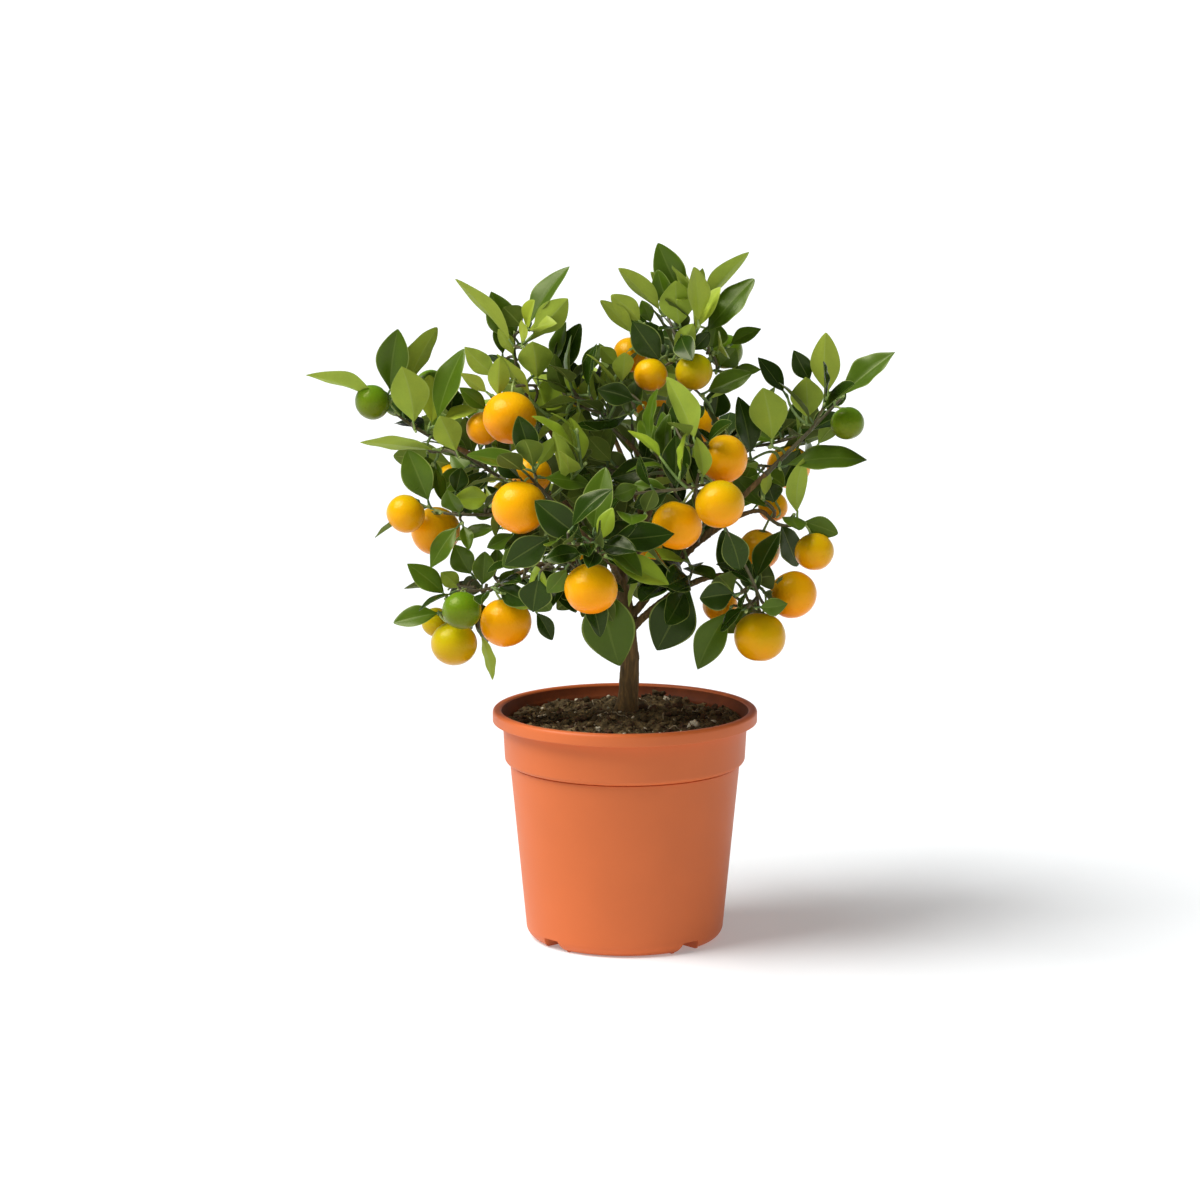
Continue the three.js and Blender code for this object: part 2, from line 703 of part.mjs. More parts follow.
// A leaf's upper face looks to its twig's end and to the sky.
function naturalFace(twigWay, along) {
  const toEnd = twigWay.clone().addScaledVector(along, -twigWay.dot(along));
  const toSky = UP.clone().addScaledVector(along, -UP.dot(along));
  const face = toEnd.addScaledVector(toSky, LEAF.sky);
  return face.length() < 0.05 ? squareTo(along).lift : face.normalize();
}

// A leaf whose blade leaves `root` along `along`, with its upper face towards `face`.
function makeLeaf(root, along, face, length, width, curl) {
  const square = face.clone().addScaledVector(along, -face.dot(along)).normalize();
  const side = along.clone().cross(square).normalize();
  return { root, along, face: square, side, length, width, curl };
}

function liftAt(height) {
  const share = (height - LIFT.lowHeight) / (LIFT.highHeight - LIFT.lowHeight);
  return mix(LIFT.low, LIFT.high, THREE.MathUtils.clamp(share, 0, 1));
}

// Where a leaf has no room it is tried again: turned round its twig by so many degrees, and made
// this share of its length.
const OTHER_WAYS = [
  [0, 1], [45, 1], [-45, 1], [90, 1], [-90, 1], [180, 1], [135, 0.8], [-135, 0.8], [0, 0.8], [70, 0.7],
];

function tryLeaf(growth, root, twigWay, turn, tilt, twist, length, width, curl) {
  const { lift, side } = squareTo(twigWay);
  for (const [extraTurn, shrink] of OTHER_WAYS) {
    const around = radians(turn + extraTurn);
    const off = radians(tilt);
    const outward = lift.clone().multiplyScalar(Math.cos(around)).addScaledVector(side, Math.sin(around));
    const along = twigWay.clone().multiplyScalar(Math.cos(off)).addScaledVector(outward, Math.sin(off));
    along.z += liftAt(root.z);
    along.normalize();
    const face = naturalFace(twigWay, along).applyAxisAngle(along, radians(twist));
    const leaf = makeLeaf(root, along, face, length * shrink, width * shrink, curl);
    if (leafFits(growth, leaf)) {
      return;
    }
  }
}

function leafFits(growth, leaf) {
  const samples = leafSamples(leaf);
  if (!samples.every((sample) => inSpace(growth.mass, sample))) {
    return false;
  }
  const skips = (thing, point) => thing.mass === growth.name && thing.kind !== 'fruit'
    && point.distanceTo(leaf.root) < leaf.length * LEAF.nearRoot;
  if (!isClear(samples, growth.name, skips)) {
    return false;
  }
  samples.forEach((sample) => hold('leaf', growth.name, sample, 0));
  growth.leaves.push(leaf);
  return true;
}

// Leaves stand round a twig by turns of the golden angle, closer to its line towards the tip.
function dressTwig(growth, twig, from) {
  const { roll } = growth;
  const count = Math.max(2, Math.round(twig.length * (1 - from) / LEAF.spacing) + 1);
  const firstTurn = roll() * 360;
  for (let i = 0; i < count; i += 1) {
    const share = mix(from, 1, i / (count - 1));
    const size = LEAF.length * between(LEAF.lengths, roll());
    const width = size * LEAF.width * between(LEAF.widths, roll());
    const turn = firstTurn + i * LEAF.turn + (roll() - 0.5) * LEAF.turnSpread;
    const tilt = between(LEAF.tilts, share) + (roll() - 0.5) * LEAF.tiltSpread;
    const curl = between(LEAF.curls, roll());
    const twist = (roll() - 0.5) * LEAF.twistSpread;
    tryLeaf(growth, twig.pointAt(share), twig.wayAt(share), turn, tilt, twist, size, width, curl);
  }
}

function twigLimb(from, way, to, rootRadius, tipRadius) {
  const reach = from.distanceTo(to);
  const pull = from.clone().addScaledVector(way, reach * TWIG.bend);
  const curve = new THREE.QuadraticBezierCurve3(from, pull, to);
  const steps = THREE.MathUtils.clamp(Math.round(reach / TWIG.stretch), 1, TWIG.mostSteps);
  return limbAlong(curve, steps, (share) => mix(rootRadius, tipRadius, share));
}

function addTwig(growth, twig) {
  growth.twigs.push(twig);
  holdLimb('twig', growth.name, twig, SAMPLE.twig);
}

function startMass(name, mass, limbs) {
  const bough = limbs[mass.bough];
  const share = mass.from ?? 1;
  const way = bough.wayAt(share);
  const head = place(mass.head);
  const growth = { name, mass, twigs: [], leaves: [], fruits: [], roll: dice(mass.seed) };
  if (share === 1) {
    const foot = bough.pointAt(1).addScaledVector(way, CLEARANCE);
    addTwig(growth, twigLimb(foot, way, head, bough.radiusAt(1), TWIG.tipRadius));
  } else {
    const foot = bough.pointAt(share);
    const outward = head.clone().sub(foot).normalize();
    addTwig(growth, twigLimb(foot, outward, head, TWIG.shootRadius, TWIG.tipRadius));
  }
  return growth;
}

// The point on the mass's twigs whose distance to `target` is closest to `distance`.
function twigPoint(growth, target, distance, shares) {
  let best = null;
  for (const twig of growth.twigs) {
    for (const share of shares) {
      const point = twig.pointAt(share);
      const miss = Math.abs(point.distanceTo(target) - distance);
      if (!best || miss < best.miss) {
        best = { point, miss, way: twig.wayAt(share) };
      }
    }
  }
  return best;
}

function hangFruits(growth) {
  for (const [x, y, z, diameter] of growth.mass.fruits) {
    const centre = new THREE.Vector3(x, y, z);
    const radius = diameter / 2;
    hold('fruit', growth.name, centre, radius);
    const crownOfFruit = centre.clone().addScaledVector(UP, radius);
    const from = twigPoint(growth, crownOfFruit, TWIG.stalk, TWIG.stalkShares);
    const towards = from.point.clone().sub(centre).normalize().add(UP).normalize();
    const end = centre.clone().addScaledVector(towards, radius * FRUIT_HANG.sunk);
    const way = end.clone().sub(from.point).normalize().lerp(from.way, FRUIT_HANG.along).normalize();
    const stalk = twigLimb(from.point, way, end, TWIG.stalkRadius, TWIG.stalkRadius);
    addTwig(growth, stalk);
    growth.fruits.push({ centre, radius });
  }
}

// A measured leaf tip is reached by one leaf, on a shoot of its own where it is far from the twigs.
function reachTips(growth) {
  growth.leads = [];
  for (const [x, y, z, show, widen = 1] of growth.mass.tips) {
    const tip = new THREE.Vector3(x, y, z);
    const length = LEAF.length * between(LEAD.lengths, growth.roll());
    let from = twigPoint(growth, tip, length, TWIG.leadShares);
    if (from.miss > LEAD.reach * length) {
      const near = twigPoint(growth, tip, 0, TWIG.leadShares);
      const end = blend(tip, near.point, length / tip.distanceTo(near.point));
      const way = near.way.clone().add(end.clone().sub(near.point).normalize()).normalize();
      const shoot = twigLimb(near.point, way, end, TWIG.shootRadius, TWIG.tipRadius);
      addTwig(growth, shoot);
      growth.leads.push(shoot);
      from = { point: end, way: shoot.wayAt(1) };
    }
    const along = tip.clone().sub(from.point);
    const size = along.length();
    const curl = between(LEAD.curls, growth.roll());
    const width = size * LEAF.width * widen * between(LEAD.widths, growth.roll());
    along.normalize();
    const face = naturalFace(from.way, along).multiplyScalar(1 - Math.abs(show)).addScaledVector(FRONT, show);
    const straight = makeLeaf(from.point, along, face, size, width, curl);
    const raised = along.clone().addScaledVector(straight.face, 0.5 * curl).normalize();
    const leaf = makeLeaf(from.point, raised, straight.face, size, width, curl);
    growth.leaves.push(leaf);
    leafSamples(leaf).forEach((sample) => hold('leaf', growth.name, sample, 0));
  }
}

function sproutShoots(growth) {
  const { mass, roll } = growth;
  const stem = growth.twigs[0];
  const firstTurn = roll() * 360;
  growth.shoots = [];
  for (let i = 0; i < mass.shoots; i += 1) {
    const share = mix(SHOOT.from, SHOOT.to, (i + 0.5) / mass.shoots);
    const from = stem.pointAt(share);
    const stemWay = stem.wayAt(share);
    const { lift, side } = squareTo(stemWay);
    const around = radians(firstTurn + i * LEAF.turn);
    const off = radians(between(SHOOT.offs, share) + (roll() - 0.5) * SHOOT.offSpread);
    const length = mass.spread * between(SHOOT.lengths, roll()) * between(SHOOT.shrinks, share);
    const outward = lift.clone().multiplyScalar(Math.cos(around)).addScaledVector(side, Math.sin(around));
    const way = stemWay.clone().multiplyScalar(Math.cos(off)).addScaledVector(outward, Math.sin(off));
    const to = from.clone().addScaledVector(way, length).addScaledVector(UP, TWIG.rise * length);
    const shoot = twigLimb(from, way, to, TWIG.shootRadius, TWIG.tipRadius);
    const samples = SAMPLE.shootShares.map((at) => shoot.pointAt(at));
    const skips = (thing) => thing.mass === growth.name && thing.kind === 'twig';
    if (inSpace(mass, samples.at(-1)) && isClear(samples, growth.name, skips)) {
      addTwig(growth, shoot);
      growth.shoots.push(shoot);
    }
  }
}

// A shoot that finds no room for a leaf falls off.
function dressShoot(growth, shoot) {
  const before = growth.leaves.length;
  dressTwig(growth, shoot, SHOOT.bare.shoot);
  if (growth.leaves.length === before) {
    growth.twigs = growth.twigs.filter((twig) => twig !== shoot);
  }
}

function growCrown(limbs) {
  for (const limb of Object.values(limbs)) {
    holdLimb('limb', 'wood', limb, SAMPLE.limb);
  }
  const growths = Object.entries(MASSES).map(([name, mass]) => startMass(name, mass, limbs));
  growths.forEach(hangFruits);
  growths.forEach(reachTips);
  growths.forEach(sproutShoots);
  for (const growth of growths) {
    growth.shoots.forEach((shoot) => dressShoot(growth, shoot));
    growth.leads.forEach((shoot) => dressTwig(growth, shoot, SHOOT.bare.lead));
    dressTwig(growth, growth.twigs[0], SHOOT.bare.stem);
  }
  return growths;
}

// ---------------------------------------------------------------------------------------------
// Solids of the foliage
// ---------------------------------------------------------------------------------------------

// A leaf of eight faces: four points of outline, and a middle point on its upper and lower side.
function leafSolid(leaf) {
  const geometry = new THREE.SphereGeometry(1, 4, 2);
  bendVertices(geometry, (point) => {
    if (Math.abs(point.y) > 0.5) {
      const lift = Math.sign(point.y) * LEAF.thickness / 2;
      return leafPoint(leaf, LEAF.thickAt, 0).addScaledVector(leaf.face, lift);
    }
    if (point.x < -0.9) {
      return leaf.root.clone().addScaledVector(leaf.along, -LEAF.sunk);
    }
    if (point.x > 0.9) {
      return leafPoint(leaf, 1, 0);
    }
    return leafPoint(leaf, LEAF.wideAt, LEAF.kiteGain * Math.sign(point.z));
  });
  return toSolid(geometry);
}

function fruitSolid({ centre, radius }) {
  const geometry = new THREE.SphereGeometry(radius, FRUIT.around, FRUIT.down)
    .rotateX(Math.PI / 2)
    .scale(1, 1, FRUIT.flattening)
    .translate(centre.x, centre.y, centre.z);
  return toSolid(geometry);
}

function twigSolid(twig) {
  return toSolid(limbGeometry(twig, TWIG.sides));
}

// Twigs, fruits and leaves of one mass fused into one body, clear of every limb.
function massSolid(growth, room) {
  const pieces = [
    ...growth.twigs.map(twigSolid),
    ...growth.fruits.map(fruitSolid),
    ...growth.leaves.map(leafSolid),
  ];
  return cutClear(pieces.reduce((whole, piece) => whole.add(piece)), room);
}

// ---------------------------------------------------------------------------------------------
// Assembly
// ---------------------------------------------------------------------------------------------

const tree = new THREE.Group();

function addPart(name, geometry, finish) {
  const mesh = new THREE.Mesh(geometry, new THREE.MeshStandardMaterial(finish));
  mesh.name = name;
  tree.add(mesh);
}

const limbs = growLimbs();
addPart('pot', potGeometry(), FINISHES.pot);
addPart('soil', soilGeometry(), FINISHES.soil);
addPart('trunk', trunkGeometry(limbs.trunk), FINISHES.bark);

// A bough starts inside its parent limb, and is cut clear of it and of the limbs placed before it.
const room = [limbSolid(limbs.trunk, CLEARANCE)];
for (const name of Object.keys(BOUGHS)) {
  const bough = limbSolid(limbs[name], 0);
  addPart(name, toGeometry(cutClear(bough, room)), FINISHES.bark);
  room.push(limbSolid(limbs[name], CLEARANCE));
}

for (const growth of growCrown(limbs)) {
  addPart(growth.name, toGeometry(massSolid(growth, room)), FINISHES.foliage);
}

export default tree;
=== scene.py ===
import json
import math

import bpy
import numpy as np
from bpy.props import FloatProperty, FloatVectorProperty, IntProperty, PointerProperty
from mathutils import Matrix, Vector, noise

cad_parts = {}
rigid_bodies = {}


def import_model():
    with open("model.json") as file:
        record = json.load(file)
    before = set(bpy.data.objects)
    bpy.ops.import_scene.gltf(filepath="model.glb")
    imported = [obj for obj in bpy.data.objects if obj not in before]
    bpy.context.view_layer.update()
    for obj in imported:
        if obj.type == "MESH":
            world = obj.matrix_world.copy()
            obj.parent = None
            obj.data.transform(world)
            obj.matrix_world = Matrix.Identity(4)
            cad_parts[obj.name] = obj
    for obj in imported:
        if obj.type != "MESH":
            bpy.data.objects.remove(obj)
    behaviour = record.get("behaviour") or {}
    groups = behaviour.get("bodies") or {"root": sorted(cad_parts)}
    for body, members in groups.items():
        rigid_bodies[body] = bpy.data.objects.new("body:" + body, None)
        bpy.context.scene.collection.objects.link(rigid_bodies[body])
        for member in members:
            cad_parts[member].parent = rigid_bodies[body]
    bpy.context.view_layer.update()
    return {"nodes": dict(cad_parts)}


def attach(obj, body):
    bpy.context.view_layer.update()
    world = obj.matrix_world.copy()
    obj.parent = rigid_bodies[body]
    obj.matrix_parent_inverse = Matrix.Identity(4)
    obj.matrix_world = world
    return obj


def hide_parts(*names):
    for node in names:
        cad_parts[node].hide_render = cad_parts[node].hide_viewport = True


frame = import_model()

bl_info = {
    "name": "Calamondin orange tree in its pot",
    "version": (1, 0, 0),
    "blender": (4, 5, 0),
    "location": "View3D > Sidebar > Tree",
    "description": "Dresses the packed solids of a potted calamondin orange tree",
    "category": "Object",
}

MASS_NODES = sorted(name for name in frame["nodes"] if name.startswith("foliage_"))
BOUGH_NODES = sorted(name for name in frame["nodes"] if name.startswith("bough_"))

# The rule of growth works in millimetres; the meshes are made in metres.
MM = 0.001

# Sizes and places in millimetres, as the solids have them, and a few finer ones beside them.

CLEARANCE = 0.3

POT = {
    "height": 132.0, "wall": 2.0, "floor": 2.2, "lip_radius": 75.0, "lip_depth": 7.0, "lip_round": 1.6,
    "mouth_radius": 70.0, "collar_top_radius": 69.3, "collar_foot_radius": 68.2,
    "collar_foot_height": 102.5, "body_top_radius": 65.0, "body_top_height": 98.5,
    "foot_radius": 56.2, "foot_round": 7.5, "crease": 0.7, "step_round": 3.0, "lip_edge": 0.5,
    "lip_shoulder": 2.0, "turn_above": 1.8, "flare": 0.1, "soften": (1.2, 0.45), "sharp_edge": 28,
}
CHANNEL = {
    "count": 4, "first_turn": 41.5, "mouth_width": 16.0, "roof_width": 11.0, "height": 6.2,
    "inner_radius": 24.0, "hole_radius": 3.5, "hole_at": 38.0, "hole_sides": 24,
    "hole_heights": (3, 6, 9, 12), "below": 1, "above_foot": 0.01,
}
SOIL = {"edge_height": 125.6, "seat_height": 128.4, "seat_radius": 19.0, "slope_radius": 44.0, "lump": 0.8}
TRUNK = {
    "foot": (0.8, 9, SOIL["seat_height"] + CLEARANCE), "bend": (2.4, 8.5, 166), "top": (-3, 6, 207),
    "flare_radius": 7.4, "flare_height": 9, "foot_radius": 5.8, "top_radius": 3.9, "steps": 9,
}

# Each bough: parent, share of the parent's length where it leaves, a point it passes, tip, radii.
BOUGH_STEPS = 4
BOUGHS = {
    "bough_right_low": ("trunk", 0.60, (35, -3, 203), (64, -15, 210), (2.5, 1.4)),
    "bough_right_middle": ("trunk", 0.68, (34, 5, 219), (79, 0, 266), (2.7, 1.4)),
    "bough_top": ("trunk", 0.985, (17, 4, 255), (28, 2, 308), (2.9, 1.4)),
    "bough_upper_left": ("trunk", 0.97, (-25, 5, 259), (-52, 0, 306), (2.8, 1.4)),
    "bough_left_arm": ("bough_upper_left", 0.30, (-58, 9, 262), (-101, 10, 282), (2.0, 1.2)),
    "bough_left_middle": ("bough_upper_left", 0.20, (-44, 0, 240), (-72, -6, 244), (1.8, 1.1)),
    "bough_left_low": ("trunk", 0.90, (-31, -5, 217), (-66, -15, 208), (2.0, 1.2)),
    "bough_front": ("trunk", 0.95, (-11, -32, 226), (-15, -66, 233), (2.0, 1.2)),
    "bough_front_left": ("bough_upper_left", 0.07, (-24, -24, 236), (-39, -50, 257), (1.9, 1.2)),
    "bough_front_right": ("bough_right_middle", 0.30, (38, -18, 236), (40, -42, 254), (1.8, 1.1)),
    "bough_right_out": ("bough_right_middle", 0.55, (66, 5, 242), (80, 4, 242), (1.6, 1.1)),
    "bough_centre": ("bough_top", 0.45, (10, -10, 273), (0, -20, 288), (1.7, 1.1)),
    "bough_back_left": ("bough_upper_left", 0.12, (-38, 38, 236), (-68, 66, 252), (2.2, 1.2)),
    "bough_back_right": ("bough_top", 0.10, (30, 42, 236), (58, 70, 258), (2.2, 1.2)),
    "bough_back_high": ("bough_top", 0.32, (2, 30, 262), (-8, 50, 284), (2.0, 1.2)),
    "bough_back_low": ("trunk", 0.86, (-4, 46, 208), (-6, 78, 210), (2.0, 1.2)),
}

# A pair holds the least and the greatest value, or the values at a twig's root and at its tip.
LEAF = {
    "length": 38, "lengths": (0.78, 1.12), "width": 0.47, "widths": (0.85, 1.12), "fold": 0.28,
    "curls": (0.1, 0.7), "spacing": 12.5, "turn": 137.5, "turn_spread": 30, "tilts": (66, 22),
    "tilt_spread": 16, "twist_spread": 90, "sky": 0.9, "near_root": 0.24, "widest": 0.92, "plump": 0.75,
}
LIFT = {"low_height": 170, "low": -0.45, "high_height": 310, "high": 0.3}
LEAD = {"lengths": (0.92, 1.1), "widths": (0.8, 1.05), "curls": (0.1, 0.35), "reach": 0.2}
TWIG = {
    "tip_radius": 0.7, "shoot_radius": 0.95, "stalk_radius": 0.75, "stalk": 7, "stretch": 24,
    "most_steps": 3, "bend": 0.5, "rise": 0.16, "stalk_shares": (0.25, 0.41, 0.57, 0.73, 0.89),
    "lead_shares": (0.33, 0.49, 0.65, 0.81, 0.97),
}
SHOOT = {
    "from": 0.12, "to": 0.9, "offs": (72, 44), "off_spread": 16, "lengths": (0.75, 1.25),
    "shrinks": (1.1, 0.8), "bare_shoot": 0.4, "bare_lead": 0.35, "bare_stem": 0.3,
}
FRUIT_HANG = {"sunk": 0.8, "along": 0.4}
SAMPLE = {
    "limb": 2, "twig": 3, "leaf_shares": (0.3, 0.5, 0.7, 0.88), "leaf_across": (-0.9, -0.3, 0.3, 0.9),
    "shoot_shares": (0.35, 0.5, 0.65, 0.8, 1), "spur_shares": (0.6, 0.8, 1),
}

# Clear room to what is there: first as the solids keep it, then for the finer growth between them.
ROOM = {"limb": 1.4, "twig": 2.6, "fruit": 1.6, "leaf": 4.6, "own_leaf": 3.2}
FINE_ROOM = {"limb": 1.0, "twig": 1.5, "fruit": 1.2, "leaf": 2.9, "own_leaf": 2.2}

# A leaf without room is tried again, turned by so many degrees and at this share of its length.
OTHER_WAYS = (
    (0, 1), (45, 1), (-45, 1), (90, 1), (-90, 1), (180, 1), (135, 0.8), (-135, 0.8), (0, 0.8), (70, 0.7),
)


def mass(bough, head, shoots, spread, seed, space, tips, fruits, tone, start=1.0, ripe="", fine=1.0):
    """One mass of foliage. `space` is centre and radii, a tip has a place and how far the leaf's
    face turns to the front, `ripe` has a letter for each fruit's ripeness, and `fine` is how much
    of the finer growth it gets."""
    return {
        "bough": bough, "from": start, "head": head, "shoots": shoots, "spread": spread, "seed": seed,
        "space": space, "tips": tips, "fruits": fruits, "tone": tone, "ripe": ripe, "fine": fine,
    }


MASSES = {
    "foliage_top": mass(
        "bough_top", (31, 2, 350), 7, 28, 101, ((33, 2, 346), (44, 42, 50)),
        ((18, 5, 395, 0.7), (68, 0, 390, -0.3), (71, -15, 376, 0.6), (-3, 0, 381, -0.6), (-12, 10, 364, -0.6),
         (30, -28, 378, -1), (76, 25, 346, -0.2), (4, -22, 354, 0.3), (77, 10, 324, 0.5)),
        ((14, -15, 324, 19), (38, -18, 326, 21), (3, 20, 331, 20), (57, 35, 331, 20)),
        "young", ripe="YLOG", fine=0.45),
    "foliage_upper_left": mass(
        "bough_upper_left", (-62, 0, 344), 7, 28, 202, ((-56, 0, 334), (40, 40, 47)),
        ((-94, 0, 375, -0.5), (-77, 10, 369, 0.3), (-33, 0, 383, 0.3), (-31, -8, 364, -0.9),
         (-25, 12, 349, 0.6), (-50, -26, 344, -1), (-90, 2, 336, -0.6)),
        ((-64, -30, 302, 30), (-80, 6, 291, 19)),
        "young", ripe="OO", fine=0.45),
    "foliage_left_arm": mass(
        "bough_left_arm", (-130, 8, 300), 6, 26, 303, ((-126, 8, 310), (48, 36, 34)),
        ((-179, 0, 322, -0.5), (-131, 8, 347, 0.8), (-106, 14, 346, -0.4), (-91, 8, 335, -0.2),
         (-150, -5, 285, -0.6), (-124, -14, 331, -1), (-102, -16, 300, -1)),
        ((-142, 5, 306, 20), (-110, 25, 313, 18)),
        "fresh", ripe="GG", fine=0.25),
    "foliage_left_middle": mass(
        "bough_left_middle", (-104, -6, 245), 6, 26, 404, ((-104, 0, 246), (36, 40, 42)),
        ((-122, -4, 280, 0.9), (-141, -2, 230, -0.3), (-109, -18, 216, 0.2)),
        ((-123, -10, 245, 22), (-107, 10, 232, 28)),
        "dark", ripe="YO", fine=0.6),
    "foliage_left_low": mass(
        "bough_left_low", (-92, -18, 203), 6, 26, 505, ((-84, -18, 200), (46, 40, 38)),
        ((-122, -12, 215, 0.7), (-129, -15, 185, 0.4), (-74, -12, 150, -0.1), (-41, -10, 173, 0.3),
         (-97, -16, 229, 0.8), (-72, -14, 224, 0.3)),
        ((-91, -38, 195, 22), (-96, -20, 173, 26), (-67, -20, 185, 29), (-107, 8, 180, 17)),
        "dark", ripe="GLOL", fine=0.6),
    "foliage_front_left": mass(
        "bough_front_left", (-54, -68, 276), 7, 28, 606, ((-50, -60, 268), (44, 40, 46)),
        ((-87, -68, 288, 0.6), (-58, -72, 310, 0.8), (-32, -60, 299, -0.3), (-66, -60, 224, 0.8)),
        ((-58, -76, 259, 30), (-52, -42, 272, 22)),
        "dark", ripe="OO"),
    "foliage_front_centre": mass(
        "bough_front", (-16, -92, 243), 6, 26, 707, ((-12, -88, 246), (46, 38, 38)),
        ((-14, -82, 281, 0.9), (-8, -100, 263, -0.5), (26, -95, 249, 0.8), (23, -100, 221, 0.7),
         (-50, -92, 265, 0.9), (-44, -104, 233, 0.5)),
        ((-19, -94, 217, 29),),
        "dark", ripe="O"),
    "foliage_front_right": mass(
        "bough_front_right", (40, -60, 276), 7, 28, 808, ((42, -56, 284), (44, 42, 48)),
        ((21, -52, 335, -0.8), (4, -70, 264, 0.7), (19, -66, 305, 0.9), (41, -84, 299, -0.9)),
        ((54, -52, 282, 27), (51, -78, 261, 27), (28, -58, 246, 28)),
        "mid", ripe="OYO"),
    "foliage_centre": mass(
        "bough_centre", (-20, -24, 314), 8, 30, 909, ((-22, -18, 312), (46, 44, 44)),
        ((-12, -30, 321, 0.8), (-14, -6, 324, -0.3), (-7, -55, 298, 0.7)), (), "mid"),
    "foliage_heart": mass(
        "bough_centre", (-18, -10, 262), 5, 24, 929, ((-12, -8, 264), (40, 34, 36)),
        ((-32, -22, 292, 0.7), (18, -24, 276, 0.6)), (), "dark", start=0.55),
    "foliage_right_arm": mass(
        "bough_right_middle", (121, -2, 309), 6, 26, 111, ((108, 0, 306), (46, 38, 36)),
        ((150, -5, 336, 0.3), (113, -2, 345, -1), (95, 8, 335, 0.5), (99, -12, 322, -1),
         (79, -12, 317, -0.9), (76, 12, 329, 0.4), (65, 16, 306, 0.6), (135, -8, 276, 0.4)),
        ((124, -9, 296, 19),),
        "fresh", ripe="G", fine=0.2),
    "foliage_right_middle": mass(
        "bough_right_out", (101, -4, 239), 6, 28, 222, ((88, 2, 242), (38, 40, 40)),
        ((118, -5, 235, 0.3), (105, -5, 274, -0.3)),
        ((106, -13, 224, 22), (84, 22, 244, 17), (76, 12, 221, 24)),
        "mid", ripe="YOO", fine=0.7),
    "foliage_right_low": mass(
        "bough_right_low", (80, -22, 200), 6, 26, 333, ((68, -20, 200), (46, 42, 38)),
        ((41, -26, 161, 0.8), (88, -10, 236, 0.6), (55, -16, 237, 0.9), (91, -38, 201, 0.8),
         (40, -34, 202, 0.8)),
        ((94, -16, 200, 27), (75, -32, 179, 29), (54, 12, 189, 20)),
        "dark", ripe="OYO"),
    "foliage_low_centre": mass(
        "bough_left_low", (-34, -34, 214), 4, 24, 444, ((-38, -30, 216), (42, 36, 46)),
        ((-1, -26, 163, 1, 1.35),), (), "dark", start=0.45),
    "foliage_low_right": mass(
        "bough_right_low", (34, -16, 204), 4, 24, 454, ((32, -20, 208), (36, 36, 42)),
        ((21, -20, 169, 1, 1.25),), (), "dark", start=0.5),
    "foliage_back_left": mass(
        "bough_back_left", (-94, 86, 266), 8, 34, 555, ((-88, 82, 264), (48, 46, 44)),
        ((-135, 100, 262, 0), (-100, 118, 304, 0)),
        ((-98, 104, 246, 26), (-66, 92, 236, 28)),
        "mid", ripe="OY"),
    "foliage_back_right": mass(
        "bough_back_right", (80, 88, 272), 7, 34, 666, ((80, 86, 270), (50, 50, 46)),
        ((122, 100, 276, 0), (84, 116, 306, 0)),
        ((96, 96, 256, 26), (62, 104, 252, 28), (45, 72, 284, 22)),
        "mid", ripe="OYO"),
    "foliage_back_high": mass(
        "bough_back_high", (-6, 70, 304), 8, 32, 777, ((-4, 66, 300), (50, 46, 44)),
        ((-14, 100, 318, 0), (34, 84, 330, 0)),
        ((-30, 84, 300, 22), (16, 92, 296, 27)),
        "mid", ripe="LO"),
    "foliage_back_low": mass(
        "bough_back_low", (-10, 108, 222), 7, 32, 888, ((-10, 100, 216), (52, 40, 46)),
        ((-14, 136, 250, 0), (-52, 112, 196, 0)),
        ((-22, 118, 200, 27), (16, 114, 206, 25)),
        "dark", ripe="OO"),
}

# Where the sky shows through the crown: place across and up in the plane of the trunk, and radius.
GAPS = (
    (-62, 376, 12.5), (-86, 349, 12.5), (-105, 332, 6.5), (-145, 324, 8), (-8, 344, 6.5), (-24, 341, 5),
    (12, 385, 7), (6, 366, 4.5), (71, 358, 10), (62, 354, 7), (92, 321, 5), (68, 314, 5.5), (59, 306, 4),
    (141, 316, 8.5), (131, 311, 6), (112, 267, 7), (114, 251, 9),
    (-135, 292, 4.5), (-103, 271, 5), (-123, 260, 4.5), (-102, 215, 4), (-115, 177, 6), (-85, 152, 6.5),
    (-73, 161, 5), (-51, 171, 6), (-36, 181, 7),
    (57, 351, 5.6), (-89, 328, 5), (-130, 275, 6), (79, 277, 4), (92, 262, 4.5), (-26, 337, 4.3),
    (1, 370, 5.6), (40, 173, 4.3), (-120, 197, 4.4), (-72, 159, 5.7), (-77, 351, 4.5), (90, 324, 5.8),
    (69, 308, 3.9), (-152, 326, 6.4), (47, 222, 3.9), (-5, 341, 4.7), (92, 247, 3.9), (-102, 268, 5),
)

